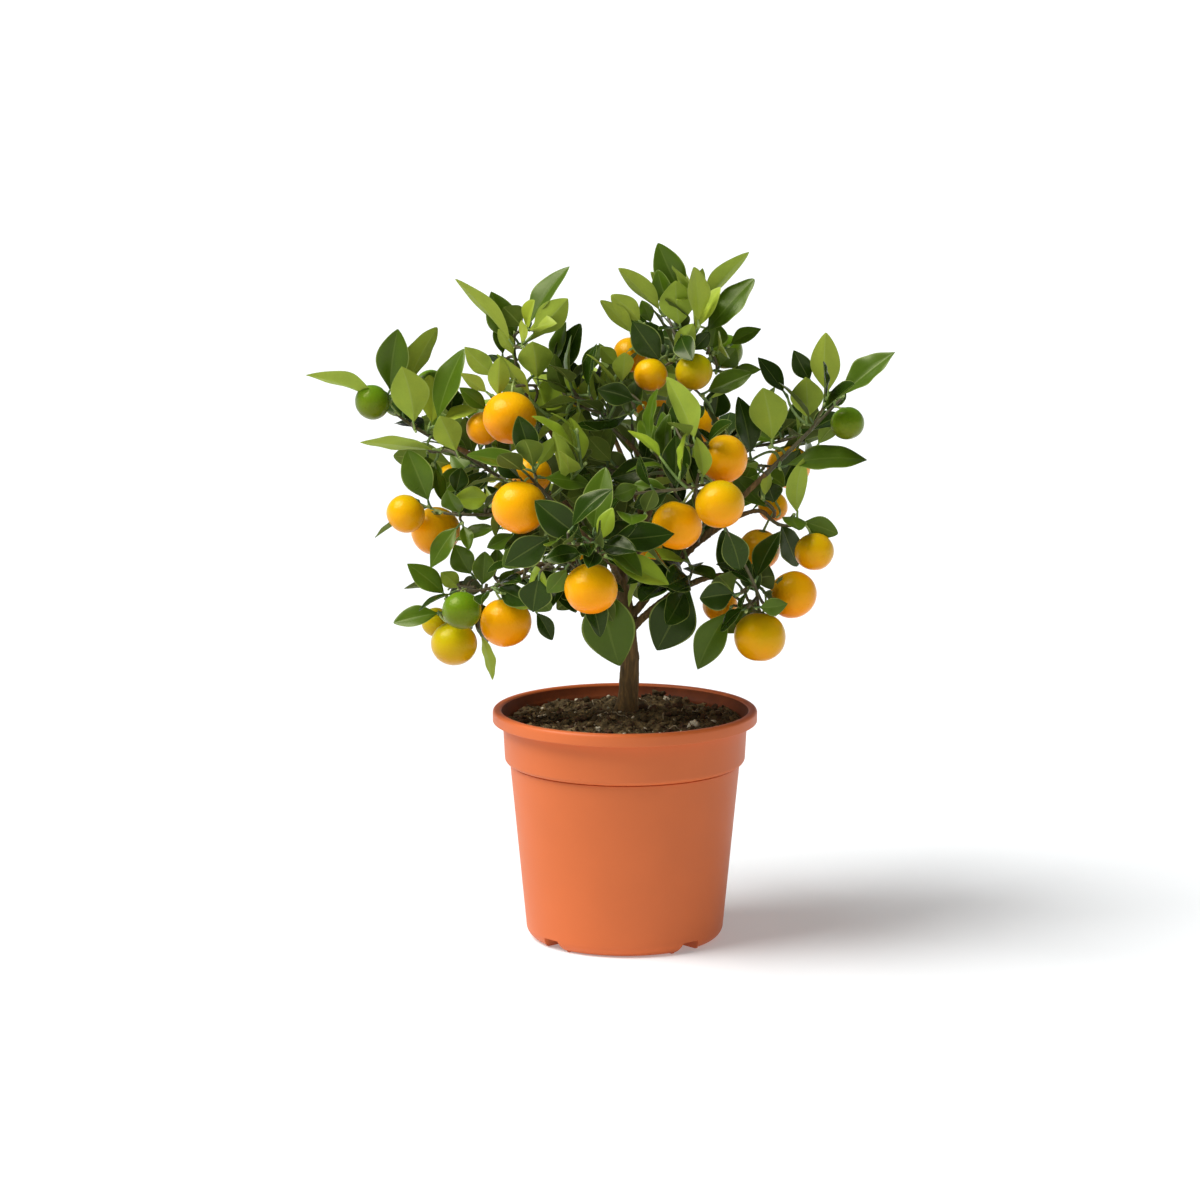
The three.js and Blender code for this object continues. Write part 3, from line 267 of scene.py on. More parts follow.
# Leaves as they show from the camera, each with the place of its root and of its tip in the plane
# of the trunk (across and up), their depths, the width that shows (negative where the underside
# does) and the first letter of its tone.
SHOWN_LEAVES = {
    "foliage_top": (
        (34, 363, 18, 396, 6, 8, 17, "m"), (31, 346, 28, 375, -8, -16, -19, "f"),
        (22, 355, -4, 382, -2, -4, -11, "y"), (24, 364, 14, 380, 4, 6, -7, "f"),
        (39, 358, 43, 382, 8, 10, -8, "y"), (42, 360, 69, 391, 2, 0, -11, "f"),
        (43, 343, 72, 376, 0, -2, 13, "m"), (11, 349, -8, 367, -2, -4, -12, "y"),
        (6, 342, -14, 364, 0, 0, -10, "y"), (15, 349, 9, 364, 6, 8, 8, "m"),
        (22, 327, 4, 352, -14, -16, 16, "d"), (24, 336, 11, 352, -6, -6, 7, "d"),
        (26, 329, 38, 351, -12, -14, -11, "f"), (36, 334, 47, 346, -8, -10, 9, "d"),
        (48, 334, 51, 352, 4, 6, 15, "m"), (56, 337, 76, 348, 2, 2, 8, "m"),
        (51, 325, 62, 337, 6, 4, 14, "m"), (56, 324, 76, 325, 2, 0, 6, "m"),
        (42, 311, 71, 323, -2, -6, 11, "m"), (-2, 326, -14, 338, 6, 6, -9, "f"),
        (49, 294, 52, 315, 12, 10, 15, "d"),
    ),
    "foliage_upper_left": (
        (-62, 338, -95, 376, -5, -8, -10, "y"), (-59, 338, -75, 369, 4, 2, 17, "m"),
        (-56, 347, -68, 360, -2, -6, -14, "m"), (-55, 347, -31, 383, 2, 6, 10, "m"),
        (-55, 341, -32, 365, -6, -8, -16, "f"), (-49, 316, -52, 341, -12, -20, -19, "f"),
        (-41, 323, -33, 352, 10, 12, 8, "m"), (-39, 316, -25, 351, 8, 10, 13, "d"),
        (-69, 319, -90, 338, -6, -8, -12, "f"), (-51, 306, -72, 334, -12, -14, -8, "f"),
        (-71, 306, -70, 332, -14, -16, -12, "f"), (-75, 310, -92, 323, -4, -6, -8, "y"),
        (-75, 301, -93, 315, 0, -2, 9, "m"), (-68, 330, -72, 352, 6, 6, 8, "m"),
        (-61, 330, -71, 348, -2, -4, -8, "y"), (-58, 337, -58, 353, -12, -14, -5, "y"),
        (-37, 307, -28, 329, 14, 14, 14, "d"), (-26, 319, -14, 339, 16, 18, 9, "m"),
        (-30, 296, -12, 324, -10, -14, -14, "f"),
    ),
    "foliage_left_arm": (
        (-135, 306, -179, 322, 5, 0, -11, "f"), (-132, 309, -127, 348, 8, 8, 18, "m"),
        (-124, 312, -105, 349, 12, 14, -13, "f"), (-118, 291, -125, 327, -4, -12, -21, "f"),
        (-106, 293, -90, 337, 4, 8, 14, "m"), (-93, 275, -104, 299, -8, -14, -16, "f"),
        (-103, 279, -149, 284, 2, -4, -10, "f"), (-111, 280, -110, 256, 6, 2, 17, "m"),
        (-107, 273, -103, 251, 2, 0, 7, "m"), (-99, 297, -97, 316, 14, 18, 13, "d"),
    ),
    "foliage_right_arm": (
        (83, 281, 77, 315, -4, -12, -21, "f"), (102, 294, 101, 321, -4, -12, -18, "f"),
        (114, 308, 112, 346, 0, -2, -16, "y"), (119, 308, 151, 335, 0, -5, 12, "m"),
        (105, 316, 94, 336, 8, 8, 11, "d"), (91, 309, 74, 332, 12, 12, 10, "d"),
        (71, 274, 63, 310, 16, 16, 14, "d"), (86, 270, 136, 274, -4, -8, 11, "m"),
    ),
    "foliage_right_middle": (
        (97, 240, 100, 275, -6, -8, -12, "f"), (97, 240, 120, 232, -4, -6, 12, "m"),
        (80, 264, 84, 250, 5, 4, 14, "d"), (78, 251, 81, 268, 0, 0, -6, "y"),
    ),
    "foliage_left_middle": (
        (-92, 239, -110, 212, -14, -16, 11, "m"), (-68, 236, -96, 228, -8, -8, 6, "m"),
        (-73, 252, -96, 252, -8, -10, 13, "f"), (-70, 242, -87, 248, -4, -6, 9, "m"),
        (-96, 253, -92, 270, 0, 2, 11, "d"),
    ),
    "foliage_left_low": (
        (-99, 195, -123, 215, -16, -14, 12, "m"), (-101, 187, -131, 181, -16, -18, 10, "m"),
        (-92, 199, -104, 210, -8, -8, -10, "f"), (-85, 206, -96, 226, -10, -8, 14, "m"),
        (-81, 199, -79, 222, -14, -14, 13, "m"), (-73, 211, -72, 224, -6, -6, 8, "m"),
        (-72, 199, -63, 211, -10, -10, 8, "m"), (-60, 234, -78, 224, -14, -16, 9, "m"),
        (-57, 207, -42, 188, -20, -22, 18, "m"), (-41, 211, -44, 197, -24, -26, 11, "d"),
        (-83, 178, -75, 148, -12, -12, -7, "f"), (-52, 190, -41, 171, -16, -14, 9, "d"),
    ),
    "foliage_front_left": (
        (-42, 233, -69, 213, -40, -46, 17, "m"), (-51, 267, -89, 277, -62, -58, 8, "m"),
        (-50, 269, -60, 299, -62, -60, 14, "d"), (-51, 267, -37, 288, -62, -64, -9, "f"),
        (-50, 264, -20, 260, -62, -62, 9, "m"),
    ),
    "foliage_front_centre": (
        (-20, 227, -51, 251, -96, -94, 18, "d"), (-18, 230, -11, 270, -94, -84, 16, "m"),
        (-17, 224, -7, 247, -98, -98, 9, "f"), (-12, 228, 28, 232, -96, -88, 15, "d"),
        (-12, 219, 25, 203, -97, -98, 12, "f"), (-19, 221, -46, 217, -98, -98, 9, "d"),
        (-39, 232, -68, 214, -84, -80, 17, "d"), (-31, 215, -44, 198, -90, -86, 11, "m"),
        (-48, 210, -52, 187, -84, -82, 18, "d"),
    ),
    "foliage_front_right": (
        (28, 257, 5, 247, -74, -76, 12, "d"), (-10, 253, 7, 259, -86, -84, 10, "m"),
        (28, 293, 28, 259, -60, -66, 16, "d"), (44, 260, 40, 287, -72, -72, -9, "f"),
        (40, 282, 23, 321, -66, -56, -14, "f"),
    ),
    "foliage_centre": (
        (9, 306, -16, 314, -30, -34, 13, "d"),
    ),
    "foliage_low_centre": (
        (-13, 206, -3, 156, -22, -26, 29, "m"),
    ),
    "foliage_low_right": (
        (38, 206, 18, 165, -16, -20, 26, "d"),
    ),
    "foliage_back_left": (
        (-83, 255, -105, 264, 72, 68, 14, "d"), (-87, 271, -106, 257, 66, 62, 13, "m"),
        (-61, 242, -79, 259, 76, 72, 13, "d"),
    ),
    "foliage_back_right": (
        (62, 250, 72, 273, 74, 70, 13, "m"), (85, 255, 98, 280, 74, 70, 16, "d"),
        (76, 268, 90, 259, 66, 62, 13, "m"),
    ),
    "foliage_right_low": (
        (61, 191, 41, 154, -24, -26, 17, "m"), (55, 238, 65, 211, -54, -46, 15, "d"),
        (73, 203, 88, 234, -40, -32, 11, "d"), (65, 198, 42, 195, -40, -42, 16, "d"),
        (73, 190, 92, 192, -46, -48, 10, "m"),
    ),
}
SHOWN = {
    "width": 0.43, "least_turn": 0.15, "curl": 0.25, "widen": 1.04, "near_tip": 8.5, "apart": 4.0,
    "own_twig": 2.5, "along_leaf": 0.5, "shares": [i / 12 for i in range(2, 13)],
}
OPEN_VIEW = {"front_of": 14, "share": 0.85, "most_points": 2}

# Seeds of the pieces' own dice, apart from those of the masses.
SEEDS = {"crumbs": 31, "perlite": 57, "fibres": 83, "scars": 19, "twigs": 211, "buds": 307, "fruits": 401}

# Rule of growth, the same as the solids'.

UP = np.array((0.0, 0.0, 1.0))
FRONT = np.array((0.0, -1.0, 0.0))
TANGENT_STEP = 0.0001
NEARLY_UPRIGHT = 0.94
NEARLY_NOTHING = 0.05


def mix(first, last, share):
    return (1 - share) * first + share * last


def between(pair, share):
    return mix(pair[0], pair[1], share)


def clamp(value, low, high):
    return min(max(value, low), high)


def point(values):
    return np.array(values[:3], dtype=float)


def size_of(vector):
    return math.sqrt(vector[0] * vector[0] + vector[1] * vector[1] + vector[2] * vector[2])


def unit(vector):
    return vector / size_of(vector)


def cross(a, b):
    return np.array((a[1] * b[2] - a[2] * b[1], a[2] * b[0] - a[0] * b[2], a[0] * b[1] - a[1] * b[0]))


def turned(vector, axis, angle):
    """`vector` turned about the unit `axis`."""
    along = axis * np.dot(axis, vector) * (1 - math.cos(angle))
    return vector * math.cos(angle) + cross(axis, vector) * math.sin(angle) + along


def dice(seed):
    """Seeded dice: each roll lies between 0 and 1."""
    factor = 48271
    size = 2147483647
    state = seed

    def roll():
        nonlocal state
        state = (state * factor) % size
        return state / size

    return roll


def any_way(roll):
    """A direction by three rolls of the dice."""
    return unit(np.array((roll() - 0.5, roll() - 0.5, roll() - 0.5)))


def square_to(way):
    """Two directions square to `way`; together with it they make a right-handed set."""
    reference = FRONT if abs(way[2]) > NEARLY_UPRIGHT else UP
    lift = unit(reference - way * np.dot(reference, way))
    return lift, unit(cross(way, lift))


def bent(start, pull, end, share):
    """A point of the curve from `start` to `end` that leans towards `pull`."""
    back = 1 - share
    return back * back * start + 2 * back * share * pull + share * share * end


def outward_at(way, around):
    """The direction square to `way`, at the angle `around` it."""
    lift, side = square_to(way)
    return lift * math.cos(around) + side * math.sin(around)


def spiral(roll, count, first, last):
    """Places along a stem by turns of the golden angle, each its share of the length and its angle."""
    first_turn = roll() * 360
    for i in range(count):
        yield mix(first, last, (i + 0.5) / count), math.radians(first_turn + i * LEAF["turn"])


class Limb:
    """A limb along a curve: the rule measures it from joint to joint, the mesh follows the curve."""

    def __init__(self, start, pull, end, steps, radius_at, name=""):
        self.name = name
        self.start = start
        self.pull = pull
        self.end = end
        self.shown = 1.0
        self.steps = steps
        self.radius_at = radius_at
        self.joints = [self.on_curve(i / steps) for i in range(steps + 1)]
        self.length = sum(size_of(self.joints[i + 1] - self.joints[i]) for i in range(steps))

    def on_curve(self, share):
        return bent(self.start, self.pull, self.end, share)

    def point_at(self, share):
        before = min(math.floor(share * self.steps), self.steps - 1)
        part = share * self.steps - before
        return self.joints[before] + (self.joints[before + 1] - self.joints[before]) * part

    def way_at(self, share):
        low = max(share - TANGENT_STEP, 0)
        high = min(share + TANGENT_STEP, 1)
        return unit(self.on_curve(high) - self.on_curve(low))


def limb_through(start, by, end, steps, radius_at, name):
    """A limb that starts at `start`, passes near its middle through `by` and ends at `end`."""
    return Limb(start, by * 2 - start * 0.5 - end * 0.5, end, steps, radius_at, name)


def trunk_radius(share):
    height = TRUNK["top"][2] - TRUNK["foot"][2]
    flare = math.exp(-share * height / TRUNK["flare_height"] * 2)
    straight = mix(TRUNK["foot_radius"], TRUNK["top_radius"], share)
    return straight + (TRUNK["flare_radius"] - TRUNK["foot_radius"]) * flare


def grow_limbs():
    foot, bend, top = (point(TRUNK[key]) for key in ("foot", "bend", "top"))
    limbs = {"trunk": limb_through(foot, bend, top, TRUNK["steps"], trunk_radius, "trunk")}
    for name, (parent, leaves, by, tip, radii) in BOUGHS.items():
        root = limbs[parent].point_at(leaves)
        taper = lambda share, radii=radii: mix(radii[0], radii[1], math.sqrt(share))
        limbs[name] = limb_through(root, point(by), point(tip), BOUGH_STEPS, taper, name)
    return limbs


def twig_limb(start, way, end, root_radius=TWIG["shoot_radius"], tip_radius=TWIG["tip_radius"]):
    reach = size_of(end - start)
    steps = int(clamp(math.floor(reach / TWIG["stretch"] + 0.5), 1, TWIG["most_steps"]))
    taper = lambda share: mix(root_radius, tip_radius, share)
    return Limb(start, start + way * (reach * TWIG["bend"]), end, steps, taper)


class Leaf:
    """A leaf whose blade leaves `root` along `along`, with its upper face towards `face`."""

    def __init__(self, root, along, face, length, width, curl, twig=None, share=0.0):
        self.root = root
        self.along = along
        self.face = unit(face - along * np.dot(face, along))
        self.side = unit(cross(along, self.face))
        self.length = length
        self.width = width
        self.curl = curl
        self.twig = twig
        self.share = share
        self.measured = False
        self.widen = BLADE["widen"]
        self.tone = None

    def at(self, share, across):
        """A point of the middle surface: `share` runs along it and `across` from -1 to 1."""
        swell = math.sin(math.pi * share ** LEAF["widest"]) ** LEAF["plump"] if 0 < share < 1 else 0
        half = 0.5 * self.width * swell
        ahead = self.length * share * (1 - self.curl * self.curl * share * share / 6)
        drop = 0.5 * self.curl * share * share * self.length
        raised = LEAF["fold"] * abs(across) * half - drop
        return self.root + self.along * ahead + self.side * (across * half) + self.face * raised

    def samples(self):
        body = [self.at(share, across)
                for share in SAMPLE["leaf_shares"] for across in SAMPLE["leaf_across"]]
        return np.array([*body, self.at(1, 0)])


class HeldRoom:
    """Everything that has taken its room, as sample points with a radius."""

    KINDS = {"limb": 0, "twig": 1, "fruit": 2, "leaf": 3}
    MOST = 60000
    FARTHEST = 25

    def __init__(self, limbs, room):
        self.count = 0
        self.place = np.zeros((self.MOST, 3))
        self.radius = np.zeros(self.MOST)
        self.kind = np.zeros(self.MOST, int)
        self.mass = np.zeros(self.MOST, int)
        self.room = room
        for limb in limbs.values():
            self.hold_limb("limb", 0, limb, SAMPLE["limb"])

    def hold(self, kind, mass_id, places, radii):
        places = np.atleast_2d(places)
        rows = slice(self.count, self.count + len(places))
        self.place[rows] = places
        self.radius[rows] = radii
        self.kind[rows] = self.KINDS[kind]
        self.mass[rows] = mass_id
        self.count += len(places)

    def hold_limb(self, kind, mass_id, limb, spacing):
        steps = math.ceil(limb.length / spacing)
        shares = [i / steps for i in range(steps + 1)]
        places = np.array([limb.point_at(share) for share in shares])
        self.hold(kind, mass_id, places, np.array([limb.radius_at(share) for share in shares]))

    def is_clear(self, points, mass_id, near=None, skip_twigs=False):
        """Whether all points keep their room. `near` is a root and a distance within which the
        mass's own twigs and leaves don't count."""
        low = points.min(0) - self.FARTHEST
        high = points.max(0) + self.FARTHEST
        place = self.place[:self.count]
        close = np.flatnonzero(((place > low) & (place < high)).all(1))
        kind = self.kind[close]
        own = self.mass[close] == mass_id
        room = self.room
        by_kind = np.array((room["limb"], room["twig"], room["fruit"], room["leaf"]))
        need = self.radius[close] + by_kind[kind]
        own_twigs = own & (kind == self.KINDS["twig"])
        need[own_twigs] = (self.radius[close] + room["limb"])[own_twigs]
        need[own & (kind == self.KINDS["leaf"])] = room["own_leaf"]
        apart = ((points[:, None, :] - place[close][None]) ** 2).sum(2)
        blocked = apart <= (need * need)[None]
        if near is not None:
            at_root = np.sqrt(((points - near[0]) ** 2).sum(1)) < near[1]
            blocked &= ~(at_root[:, None] & (own & (kind != self.KINDS["fruit"]))[None])
        if skip_twigs:
            blocked &= ~own_twigs[None]
        return not blocked.any()


class Growth:
    """What one mass of foliage has grown so far."""

    def __init__(self, name, plan, mass_id, held):
        self.name = name
        self.plan = plan
        self.mass_id = mass_id
        self.held = held
        self.usual = LEAF["length"]
        self.lift = LIFT
        self.shown_fruits = None
        self.roll = dice(plan["seed"])
        self.twigs = []
        self.leaves = []
        self.fruits = []
        self.leads = []
        self.shoots = []

    def wood(self):
        """The twigs as they are now, without the fruit stalks."""
        return [twig for twig in self.twigs if twig.name != "stalk"]

    def in_space(self, points):
        centre, radii = self.plan["space"]
        return ((((points - np.array(centre)) / np.array(radii)) ** 2).sum(1) < 1).all()

    def add_twig(self, twig, parent=None):
        twig.parent = parent
        self.twigs.append(twig)
        self.held.hold_limb("twig", self.mass_id, twig, SAMPLE["twig"])

    def add_leaf(self, leaf):
        self.leaves.append(leaf)
        self.held.hold("leaf", self.mass_id, leaf.samples(), 0)

    def start(self, limbs):
        bough = limbs[self.plan["bough"]]
        share = self.plan["from"]
        head = point(self.plan["head"])
        if share == 1:
            way = bough.way_at(1)
            foot = bough.point_at(1) + way * CLEARANCE
            self.add_twig(twig_limb(foot, way, head, bough.radius_at(1)))
        else:
            foot = bough.point_at(share)
            self.add_twig(twig_limb(foot, unit(head - foot), head))

    def twig_point(self, target, distance, shares):
        """The point on the twigs whose distance to `target` is closest to `distance`."""
        best = None
        for twig in self.twigs:
            for share in shares:
                miss = abs(size_of(twig.point_at(share) - target) - distance)
                if best is None or miss < best[0]:
                    best = (miss, twig, share)
        return best

    def hang_fruits(self):
        for (x, y, z, diameter), ripe in zip(self.plan["fruits"], self.plan["ripe"]):
            centre = np.array((x, y, z), float)
            radius = diameter / 2
            self.held.hold("fruit", self.mass_id, centre, radius)
            _, twig, share = self.twig_point(centre + UP * radius, TWIG["stalk"], TWIG["stalk_shares"])
            root = twig.point_at(share)
            towards = unit(unit(root - centre) + UP)
            end = centre + towards * (radius * FRUIT_HANG["sunk"])
            straight = unit(end - root)
            way = unit(straight + (twig.way_at(share) - straight) * FRUIT_HANG["along"])
            stalk = twig_limb(root, way, end, TWIG["stalk_radius"], TWIG["stalk_radius"])
            stalk.name = "stalk"
            self.add_twig(stalk, twig)
            self.fruits.append({"centre": centre, "radius": radius, "towards": towards, "ripe": ripe})

    def reach_tips(self):
        """A measured leaf tip is reached by one leaf, on a shoot of its own where it is far off."""
        for x, y, z, show, *rest in self.plan["tips"]:
            widen = rest[0] if rest else 1
            tip = np.array((x, y, z), float)
            length = LEAF["length"] * between(LEAD["lengths"], self.roll())
            miss, twig, share = self.twig_point(tip, length, TWIG["lead_shares"])
            if miss > LEAD["reach"] * length:
                _, near, near_share = self.twig_point(tip, 0, TWIG["lead_shares"])
                root = near.point_at(near_share)
                end = tip + (root - tip) * (length / size_of(root - tip))
                way = unit(near.way_at(near_share) + unit(end - root))
                twig = twig_limb(root, way, end)
                share = 1
                self.add_twig(twig, near)
                self.leads.append(twig)
            root = twig.point_at(share)
            along = tip - root
            size = size_of(along)
            curl = between(LEAD["curls"], self.roll())
            width = size * LEAF["width"] * widen * between(LEAD["widths"], self.roll())
            along = unit(along)
            face = natural_face(twig.way_at(share), along) * (1 - abs(show)) + FRONT * show
            leaf = measured_leaf(root, along, face, size, width, curl, BLADE["widen_measured"])
            leaf.twig, leaf.share = twig, share
            self.add_leaf(leaf)

    def sprout_shoots(self, count, spread):
        self.shoots = []
        for share, around in spiral(self.roll, count, SHOOT["from"], SHOOT["to"]):
            off = math.radians(between(SHOOT["offs"], share) + (self.roll() - 0.5) * SHOOT["off_spread"])
            length = spread * between(SHOOT["lengths"], self.roll()) * between(SHOOT["shrinks"], share)
            self.try_shoot(self.twigs[0], share, around, off, length)

    def try_shoot(self, stem, share, around, off, length):
        root = stem.point_at(share)
        stem_way = stem.way_at(share)
        way = stem_way * math.cos(off) + outward_at(stem_way, around) * math.sin(off)
        end = root + way * length + UP * (TWIG["rise"] * length)
        shoot = twig_limb(root, way, end)
        points = np.array([shoot.point_at(at) for at in SAMPLE["shoot_shares"]])
        if self.shown_fruits is not None and blocks_view(points, self.shown_fruits, 0):
            return
        if self.in_space(points[-1:]) and self.held.is_clear(points, self.mass_id, skip_twigs=True):
            self.add_twig(shoot, stem)
            self.shoots.append(shoot)

    def try_spur(self, bough, share, around, length):
        """A short shoot that stands almost square to a bough."""
        root = bough.point_at(share)
        way = bough.way_at(share)
        outward = outward_at(way, around)
        end = root + (way * SPURS["ahead"] + outward + UP * SPURS["rise"]) * length
        spur = twig_limb(root, outward, end)
        points = np.array([spur.point_at(at) for at in SAMPLE["spur_shares"]])
        if self.in_space(points) and self.held.is_clear(points, self.mass_id, skip_twigs=True):
            self.add_twig(spur)
            self.shoots.append(spur)

    def dress_shoots(self, bare, spacing):
        """A shoot that finds no room for a leaf falls off."""
        for shoot in self.shoots:
            before = len(self.leaves)
            self.dress_twig(shoot, bare, spacing)
            if len(self.leaves) == before:
                self.twigs.remove(shoot)

    def dress_twig(self, twig, start, spacing):
        """Leaves stand round a twig by turns of the golden angle, closer to its line at the tip."""
        roll = self.roll
        count = max(2, math.floor(twig.length * (1 - start) / spacing + 0.5) + 1)
        first_turn = roll() * 360
        for i in range(count):
            share = mix(start, 1, i / (count - 1))
            size = self.usual * between(LEAF["lengths"], roll())
            width = size * LEAF["width"] * between(LEAF["widths"], roll())
            turn = first_turn + i * LEAF["turn"] + (roll() - 0.5) * LEAF["turn_spread"]
            tilt = between(LEAF["tilts"], share) + (roll() - 0.5) * LEAF["tilt_spread"]
            curl = between(LEAF["curls"], roll())
            twist = (roll() - 0.5) * LEAF["twist_spread"]
            self.try_leaf(twig, share, turn, tilt, twist, size, width, curl)

    def try_leaf(self, twig, share, turn, tilt, twist, length, width, curl):
        root = twig.point_at(share)
        way = twig.way_at(share)
        off = math.radians(tilt)
        for extra_turn, shrink in OTHER_WAYS:
            outward = outward_at(way, math.radians(turn + extra_turn))
            along = way * math.cos(off) + outward * math.sin(off)
            along[2] += lift_at(root[2], self.lift)
            along = unit(along)
            face = turned(natural_face(way, along), along, math.radians(twist))
            leaf = Leaf(root, along, face, length * shrink, width * shrink, curl, twig, share)
            if self.fits(leaf):
                self.add_leaf(leaf)
                return

    def fits(self, leaf):
        points = leaf.samples()
        near = (leaf.root, leaf.length * LEAF["near_root"])
        if not self.in_space(points) or not self.held.is_clear(points, self.mass_id, near=near):
            return False
        return self.shown_fruits is None or not blocks_view(points, self.shown_fruits)


def measured_leaf(root, along, face, length, width, curl, widen):
    """A leaf that starts above the line to its tip, so that its curl brings it down to the tip."""
    straight = Leaf(root, along, face, length, width, curl)
    raised = unit(along + straight.face * (0.5 * curl))
    leaf = Leaf(root, raised, straight.face, length, width, curl)
    leaf.measured = True
    leaf.widen = widen
    return leaf


def natural_face(twig_way, along):
    """A leaf's upper face looks to its twig's end and to the sky."""
    to_end = twig_way - along * np.dot(twig_way, along)
    to_sky = UP - along * np.dot(UP, along)
    face = to_end + to_sky * LEAF["sky"]
    return square_to(along)[0] if size_of(face) < NEARLY_NOTHING else unit(face)


def lift_at(height, lift):
    """Leaves low in the crown hang, and those high in it stand up."""
    share = (height - lift["low_height"]) / (lift["high_height"] - lift["low_height"])
    return mix(lift["low"], lift["high"], clamp(share, 0, 1))


def grow_crown(limbs):
    """Grows the same twigs, fruit and leaves as the solids have."""
    held = HeldRoom(limbs, ROOM)
    growths = [Growth(name, plan, 1 + i, held) for i, (name, plan) in enumerate(MASSES.items())]
    for growth in growths:
        growth.start(limbs)
    for growth in growths:
        growth.hang_fruits()
    for growth in growths:
        growth.reach_tips()
    for growth in growths:
        growth.sprout_shoots(growth.plan["shoots"], growth.plan["spread"])
    for growth in growths:
        growth.dress_shoots(SHOOT["bare_shoot"], LEAF["spacing"])
        for lead in growth.leads:
            growth.dress_twig(lead, SHOOT["bare_lead"], LEAF["spacing"])
        growth.dress_twig(growth.twigs[0], SHOOT["bare_stem"], LEAF["spacing"])
    return growths


# Finer growth: more shoots and leaves in the room that is left, inside each mass's own space.

FINE = {
    "seed": 4001, "shoot_every": 13, "shoot_lengths": (12, 24), "offs": (68, 42), "from": 0.2,
    "leaf_spacing": 8.5, "bare": 0.3, "leaf_length": 33, "rounding": 0.4,
    "lift": {"low_height": 170, "low": -0.5, "high_height": 310, "high": 0.6},
}
SPURS = {
    "seed": 6007, "from": 0.3, "every": 13, "lengths": (10, 22), "ahead": 0.5, "rise": 0.3,
    "space": ((-4, 4, 272), (72, 62, 60)),
}

# How far a twig goes on past the last thing that it carries, and in how many steps that is sought.
TWIG_OVER = 1.2
TWIG_STEPS = 40

# Share of a mass's sprays that get each tone of leaf, from the mass's own tone.
TONES = ("dark", "mid", "fresh", "young")
TONE_SHARES = {
    "dark": (0.72, 0.24, 0.04, 0.0),
    "mid": (0.36, 0.44, 0.20, 0.0),
    "fresh": (0.08, 0.30, 0.40, 0.22),
    "young": (0.08, 0.28, 0.36, 0.28),
}
# Keeps a draw below the sum of those shares.
BELOW_ONE = 0.999

# A twig this far above its mass's middle, as a share of `span`, may be one tone younger.
YOUNGER = {"seed": 77, "span": 40, "above": 0.45, "chance": 0.5}


def on_trunk_plane(points):
    """Where points show from the camera, across and up in the upright plane of the trunk."""
    eye = np.array(CAMERA["place"]) / MM
    share = eye[1] / (eye[1] - points[:, 1])
    return eye[[0, 2]] + (points[:, [0, 2]] - eye[[0, 2]]) * share[:, None]


def blocks_view(points, fruits, most_points=OPEN_VIEW["most_points"]):
    """Whether a leaf would close a gap to the sky or hide a fruit that hangs in full view."""
    places = on_trunk_plane(points)
    gaps = np.array(GAPS)
    if (np.hypot(*(places[:, None] - gaps[None, :, :2]).T).T < gaps[:, 2]).any():
        return True
    for place, reach, depth in fruits:
        covered = (np.hypot(*(places - place).T) < reach) & (points[:, 1] < depth)
        if covered.sum() > most_points:
            return True
    return False


def fruits_in_view(growths):
    """Place in the trunk's plane, radius to keep open and depth of each fruit at the front."""
    shown = []
    for fruit in (fruit for growth in growths for fruit in growth.fruits):
        if fruit["centre"][1] < OPEN_VIEW["front_of"]:
            place = on_trunk_plane(fruit["centre"][None])[0]
            shown.append((place, fruit["radius"] * OPEN_VIEW["share"], fruit["centre"][1]))
    return shown


def from_trunk_plane(across, up, depth):
    """The point at `depth` that shows at that place of the trunk's plane."""
    eye = np.array(CAMERA["place"]) / MM
    share = (eye[1] - depth) / eye[1]
    return np.array((eye[0] + (across - eye[0]) * share, depth, eye[2] + (up - eye[2]) * share))


def shown_leaf(row):
    """The leaf of one row of SHOWN_LEAVES, turned so that its width shows as measured."""
    root_across, root_up, tip_across, tip_up, root_depth, tip_depth, seen, letter = row
    root = from_trunk_plane(root_across, root_up, root_depth)
    tip = from_trunk_plane(tip_across, tip_up, tip_depth)
    along = tip - root
    size = size_of(along)
    along = along / size
    width = max(abs(seen), size * SHOWN["width"])
    turn = clamp(abs(seen) / width, SHOWN["least_turn"], 1)
    front = unit(FRONT - along * np.dot(FRONT, along))
    natural = natural_face(along, along)
    edge_on = natural - front * np.dot(natural, front)
    edge_on = unit(edge_on) if size_of(edge_on) > NEARLY_NOTHING else cross(along, front)
    face = front * math.copysign(turn, seen) + edge_on * math.sqrt(1 - turn * turn)
    leaf = measured_leaf(root, along, face, size, width, SHOWN["curl"], SHOWN["widen"])
    leaf.tone = {tone[0]: tone for tone in TONES}[letter]
    return leaf


def place_shown_leaf(growth, leaf):
    """Seats the leaf on the nearest twig, or on a short twig of its own."""
    _, twig, share = growth.twig_point(leaf.root, 0, SHOWN["shares"])
    start = twig.point_at(share)
    apart = size_of(leaf.root - start)
    if apart > SHOWN["own_twig"]:
        way = unit(twig.way_at(share) + unit(leaf.root - start) + leaf.along * SHOWN["along_leaf"])
        own = twig_limb(start, way, leaf.root)
        growth.add_twig(own, twig)
        twig, share = own, 1
    leaf.twig, leaf.share = twig, share
    growth.add_leaf(leaf)


def keep_needed_twigs(growth):
    """Drops twigs that carry no leaf, no fruit and no other twig."""
    before = None
    while before != len(growth.twigs):
        before = len(growth.twigs)
        used = {id(leaf.twig) for leaf in growth.leaves} | {id(twig.parent) for twig in growth.twigs}
        growth.twigs = [twig for twig in growth.twigs
                        if twig.name == "stalk" or twig.parent is None or id(twig) in used]


